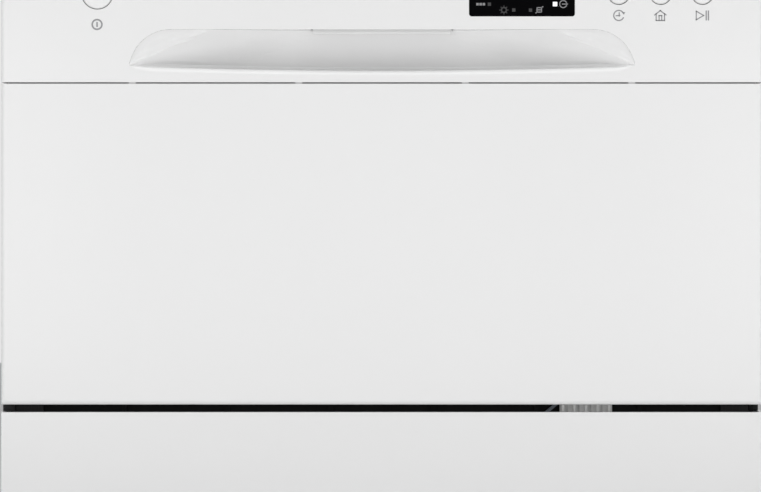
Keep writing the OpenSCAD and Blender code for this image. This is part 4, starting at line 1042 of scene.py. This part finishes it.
class DISHWASHER_OT_finishes(bpy.types.Operator):
    """Gives every node of the model its finish"""

    bl_idname = "dishwasher.finishes"
    bl_label = "Finishes"

    def execute(self, context):
        white = tuple(context.scene.dishwasher_finishes.body_white)
        finishes = make_finishes()
        coils = spring_coils()
        steel = tub_stainless()
        seamless = white_moulding("seamless_plastic", white, 1400.0, soft=False)
        # Painted shade: the near-black beam finish goes on the base tray and also on the zinc hinge
        # brackets, to darken the slot
        beam = black_plastic_and_shade("beam_black_and_shade", 0.01)
        special = {"control_fascia": seamless, "handle_scoop": seamless,
                   "harness_guide": guide_painted_light(), "hinge_bracket_left": beam,
                   "hinge_bracket_right": beam, "base_tray": beam, "tub": steel,
                   "tub_base": steel, "filter_cup": filter_mesh(),
                   "door_spring_left": coils, "door_spring_right": coils}
        for subpart in frame["record"]["subparts"]:
            node = subpart["node"]
            dress(frame["nodes"][node], special.get(node) or finishes[subpart["material_slot"]])
        return {"FINISHED"}


class DISHWASHER_OT_icons(bpy.types.Operator):
    """Prints the icons on the fascia and the marks on the display"""

    bl_idname = "dishwasher.icons"
    bl_label = "Icons and marks"

    def execute(self, context):
        grey = tuple(context.scene.dishwasher_finishes.icon_grey)
        ink = printed_ink("icon_ink", grey)
        for name, shape in (("power_icon", power_icon), ("clock_icon", clock_icon),
                            ("house_icon", house_icon), ("play_icon", play_icon)):
            new_piece(name, "door", ink, shape)
        # Painted glow: the resting marks are not lit, yet glow faintly so that they show on the
        # black window
        for name, shape, tone, glow in (("display_resting_marks", rested_marks, 0.02, 0.3),
                                        ("display_soft_marks", soft_marks, 0.16, 0.5),
                                        ("display_lit_marks", lit_marks, 0.82, 0.9)):
            mark = lit_mark(name + "_light", (tone, tone, tone * 1.03), glow)
            new_piece(name, "door", mark, shape)
        return {"FINISHED"}


class DISHWASHER_OT_screws(bpy.types.Operator):
    """Screws of the liner, the rear panel, the casing and the front frame"""

    bl_idname = "dishwasher.screws"
    bl_label = "Screws"

    def execute(self, context):
        steel = brushed_stainless("screw_steel", (0.5, 0.5, 0.52), 0, 0.3)
        new_piece("liner_screws", "door", steel, liner_screws)
        for name, shape in (("rear_screws", rear_screws), ("casing_screws", casing_screws),
                            ("frame_screws", frame_screws)):
            new_piece(name, "cabinet", steel, shape)
        return {"FINISHED"}


class DISHWASHER_OT_connectors(bpy.types.Operator):
    """Thread and barbs of the rear connectors"""

    bl_idname = "dishwasher.connectors"
    bl_label = "Rear connectors"

    def execute(self, context):
        pale = dull_plastic("inlet_plastic", (0.66, 0.66, 0.65), 0.4)
        black = dull_plastic("spigot_plastic", (0.022, 0.022, 0.024))
        new_piece("inlet_thread", "cabinet", pale, inlet_thread, smooth=True)
        new_piece("drain_barbs", "cabinet", black, drain_barbs, smooth=True)
        return {"FINISHED"}


class DISHWASHER_OT_wash_details(bpy.types.Operator):
    """Jets and rib of the spray arm, strainer, rack clips, shelf cuffs and the rinse aid lens"""

    bl_idname = "dishwasher.wash_details"
    bl_label = "Wash space details"

    def execute(self, context):
        steel = brushed_stainless("jet_steel", (0.6, 0.61, 0.62), 0, 0.28)
        grey = dull_plastic("clip_plastic", (0.3, 0.31, 0.33), 0.38)
        lens = clear_plastic("lens_plastic", (0.02, 0.02, 0.025), 1.0)
        new_piece("spray_jets", "spray_arm", steel, spray_jets, smooth=True)
        new_piece("arm_spine", "spray_arm", steel, arm_spine, smooth=True)
        new_piece("strainer", "cabinet", perforated_plate(), strainer, smooth=True)
        new_piece("tine_clips", "rack", grey, tine_clips, smooth=True)
        new_piece("shelf_cuffs", "cup_shelf", grey, shelf_cuffs, smooth=True)
        new_piece("rinse_lens", "door", lens, rinse_lens, smooth=True)
        return {"FINISHED"}


class DISHWASHER_OT_slot_details(bpy.types.Operator):
    """End covers, dark plates of painted shade at the ends, and guide tongue seen in the dark slot
    under the door
    """

    bl_idname = "dishwasher.slot_details"
    bl_label = "Slot details"

    def execute(self, context):
        # Dark grey of the end covers, used too for the plates of painted shade
        dark = black_plastic_and_shade("slot_dark_and_shade", 0.034)
        blue = dull_plastic("tongue_plastic", (0.16, 0.18, 0.21))
        new_piece("slot_blocks", "cabinet", dark, slot_blocks)
        # Painted shade: dark plates standing in for the shade at the slot's ends
        new_piece("slot_shade_plates", "cabinet", dark, slot_shade_plates)
        new_piece("guide_tongue", "cabinet", blue, guide_tongue)
        return {"FINISHED"}


class DISHWASHER_PT_panel(bpy.types.Panel):
    """Settings and steps"""

    bl_label = "Dishwasher"
    bl_idname = "DISHWASHER_PT_panel"
    bl_space_type = "VIEW_3D"
    bl_region_type = "UI"
    bl_category = "Dishwasher"

    def draw(self, context):
        layout = self.layout
        for group in (context.scene.dishwasher_finishes, context.scene.dishwasher_stage):
            column = layout.column(align=True)
            for name in group.bl_rna.properties.keys():
                if name not in ("rna_type", "name"):
                    column.prop(group, name)
        for step in STEPS:
            layout.operator(step.bl_idname)


STEPS = (DISHWASHER_OT_stage, DISHWASHER_OT_finishes, DISHWASHER_OT_icons, DISHWASHER_OT_screws,
         DISHWASHER_OT_connectors, DISHWASHER_OT_wash_details, DISHWASHER_OT_slot_details)
CLASSES = (DishwasherFinishes, DishwasherStage, *STEPS, DISHWASHER_PT_panel)


def register():
    """Registers the classes and the scene's settings."""
    for cls in CLASSES:
        bpy.utils.register_class(cls)
    bpy.types.Scene.dishwasher_finishes = bpy.props.PointerProperty(type=DishwasherFinishes)
    bpy.types.Scene.dishwasher_stage = bpy.props.PointerProperty(type=DishwasherStage)


def unregister():
    """Takes the settings and classes away again."""
    del bpy.types.Scene.dishwasher_stage
    del bpy.types.Scene.dishwasher_finishes
    for cls in reversed(CLASSES):
        bpy.utils.unregister_class(cls)


def main():
    """Runs every step."""
    register()
    bpy.ops.dishwasher.stage()
    bpy.ops.dishwasher.finishes()
    bpy.ops.dishwasher.icons()
    bpy.ops.dishwasher.screws()
    bpy.ops.dishwasher.connectors()
    bpy.ops.dishwasher.wash_details()
    bpy.ops.dishwasher.slot_details()


if __name__ == "__main__":
    main()
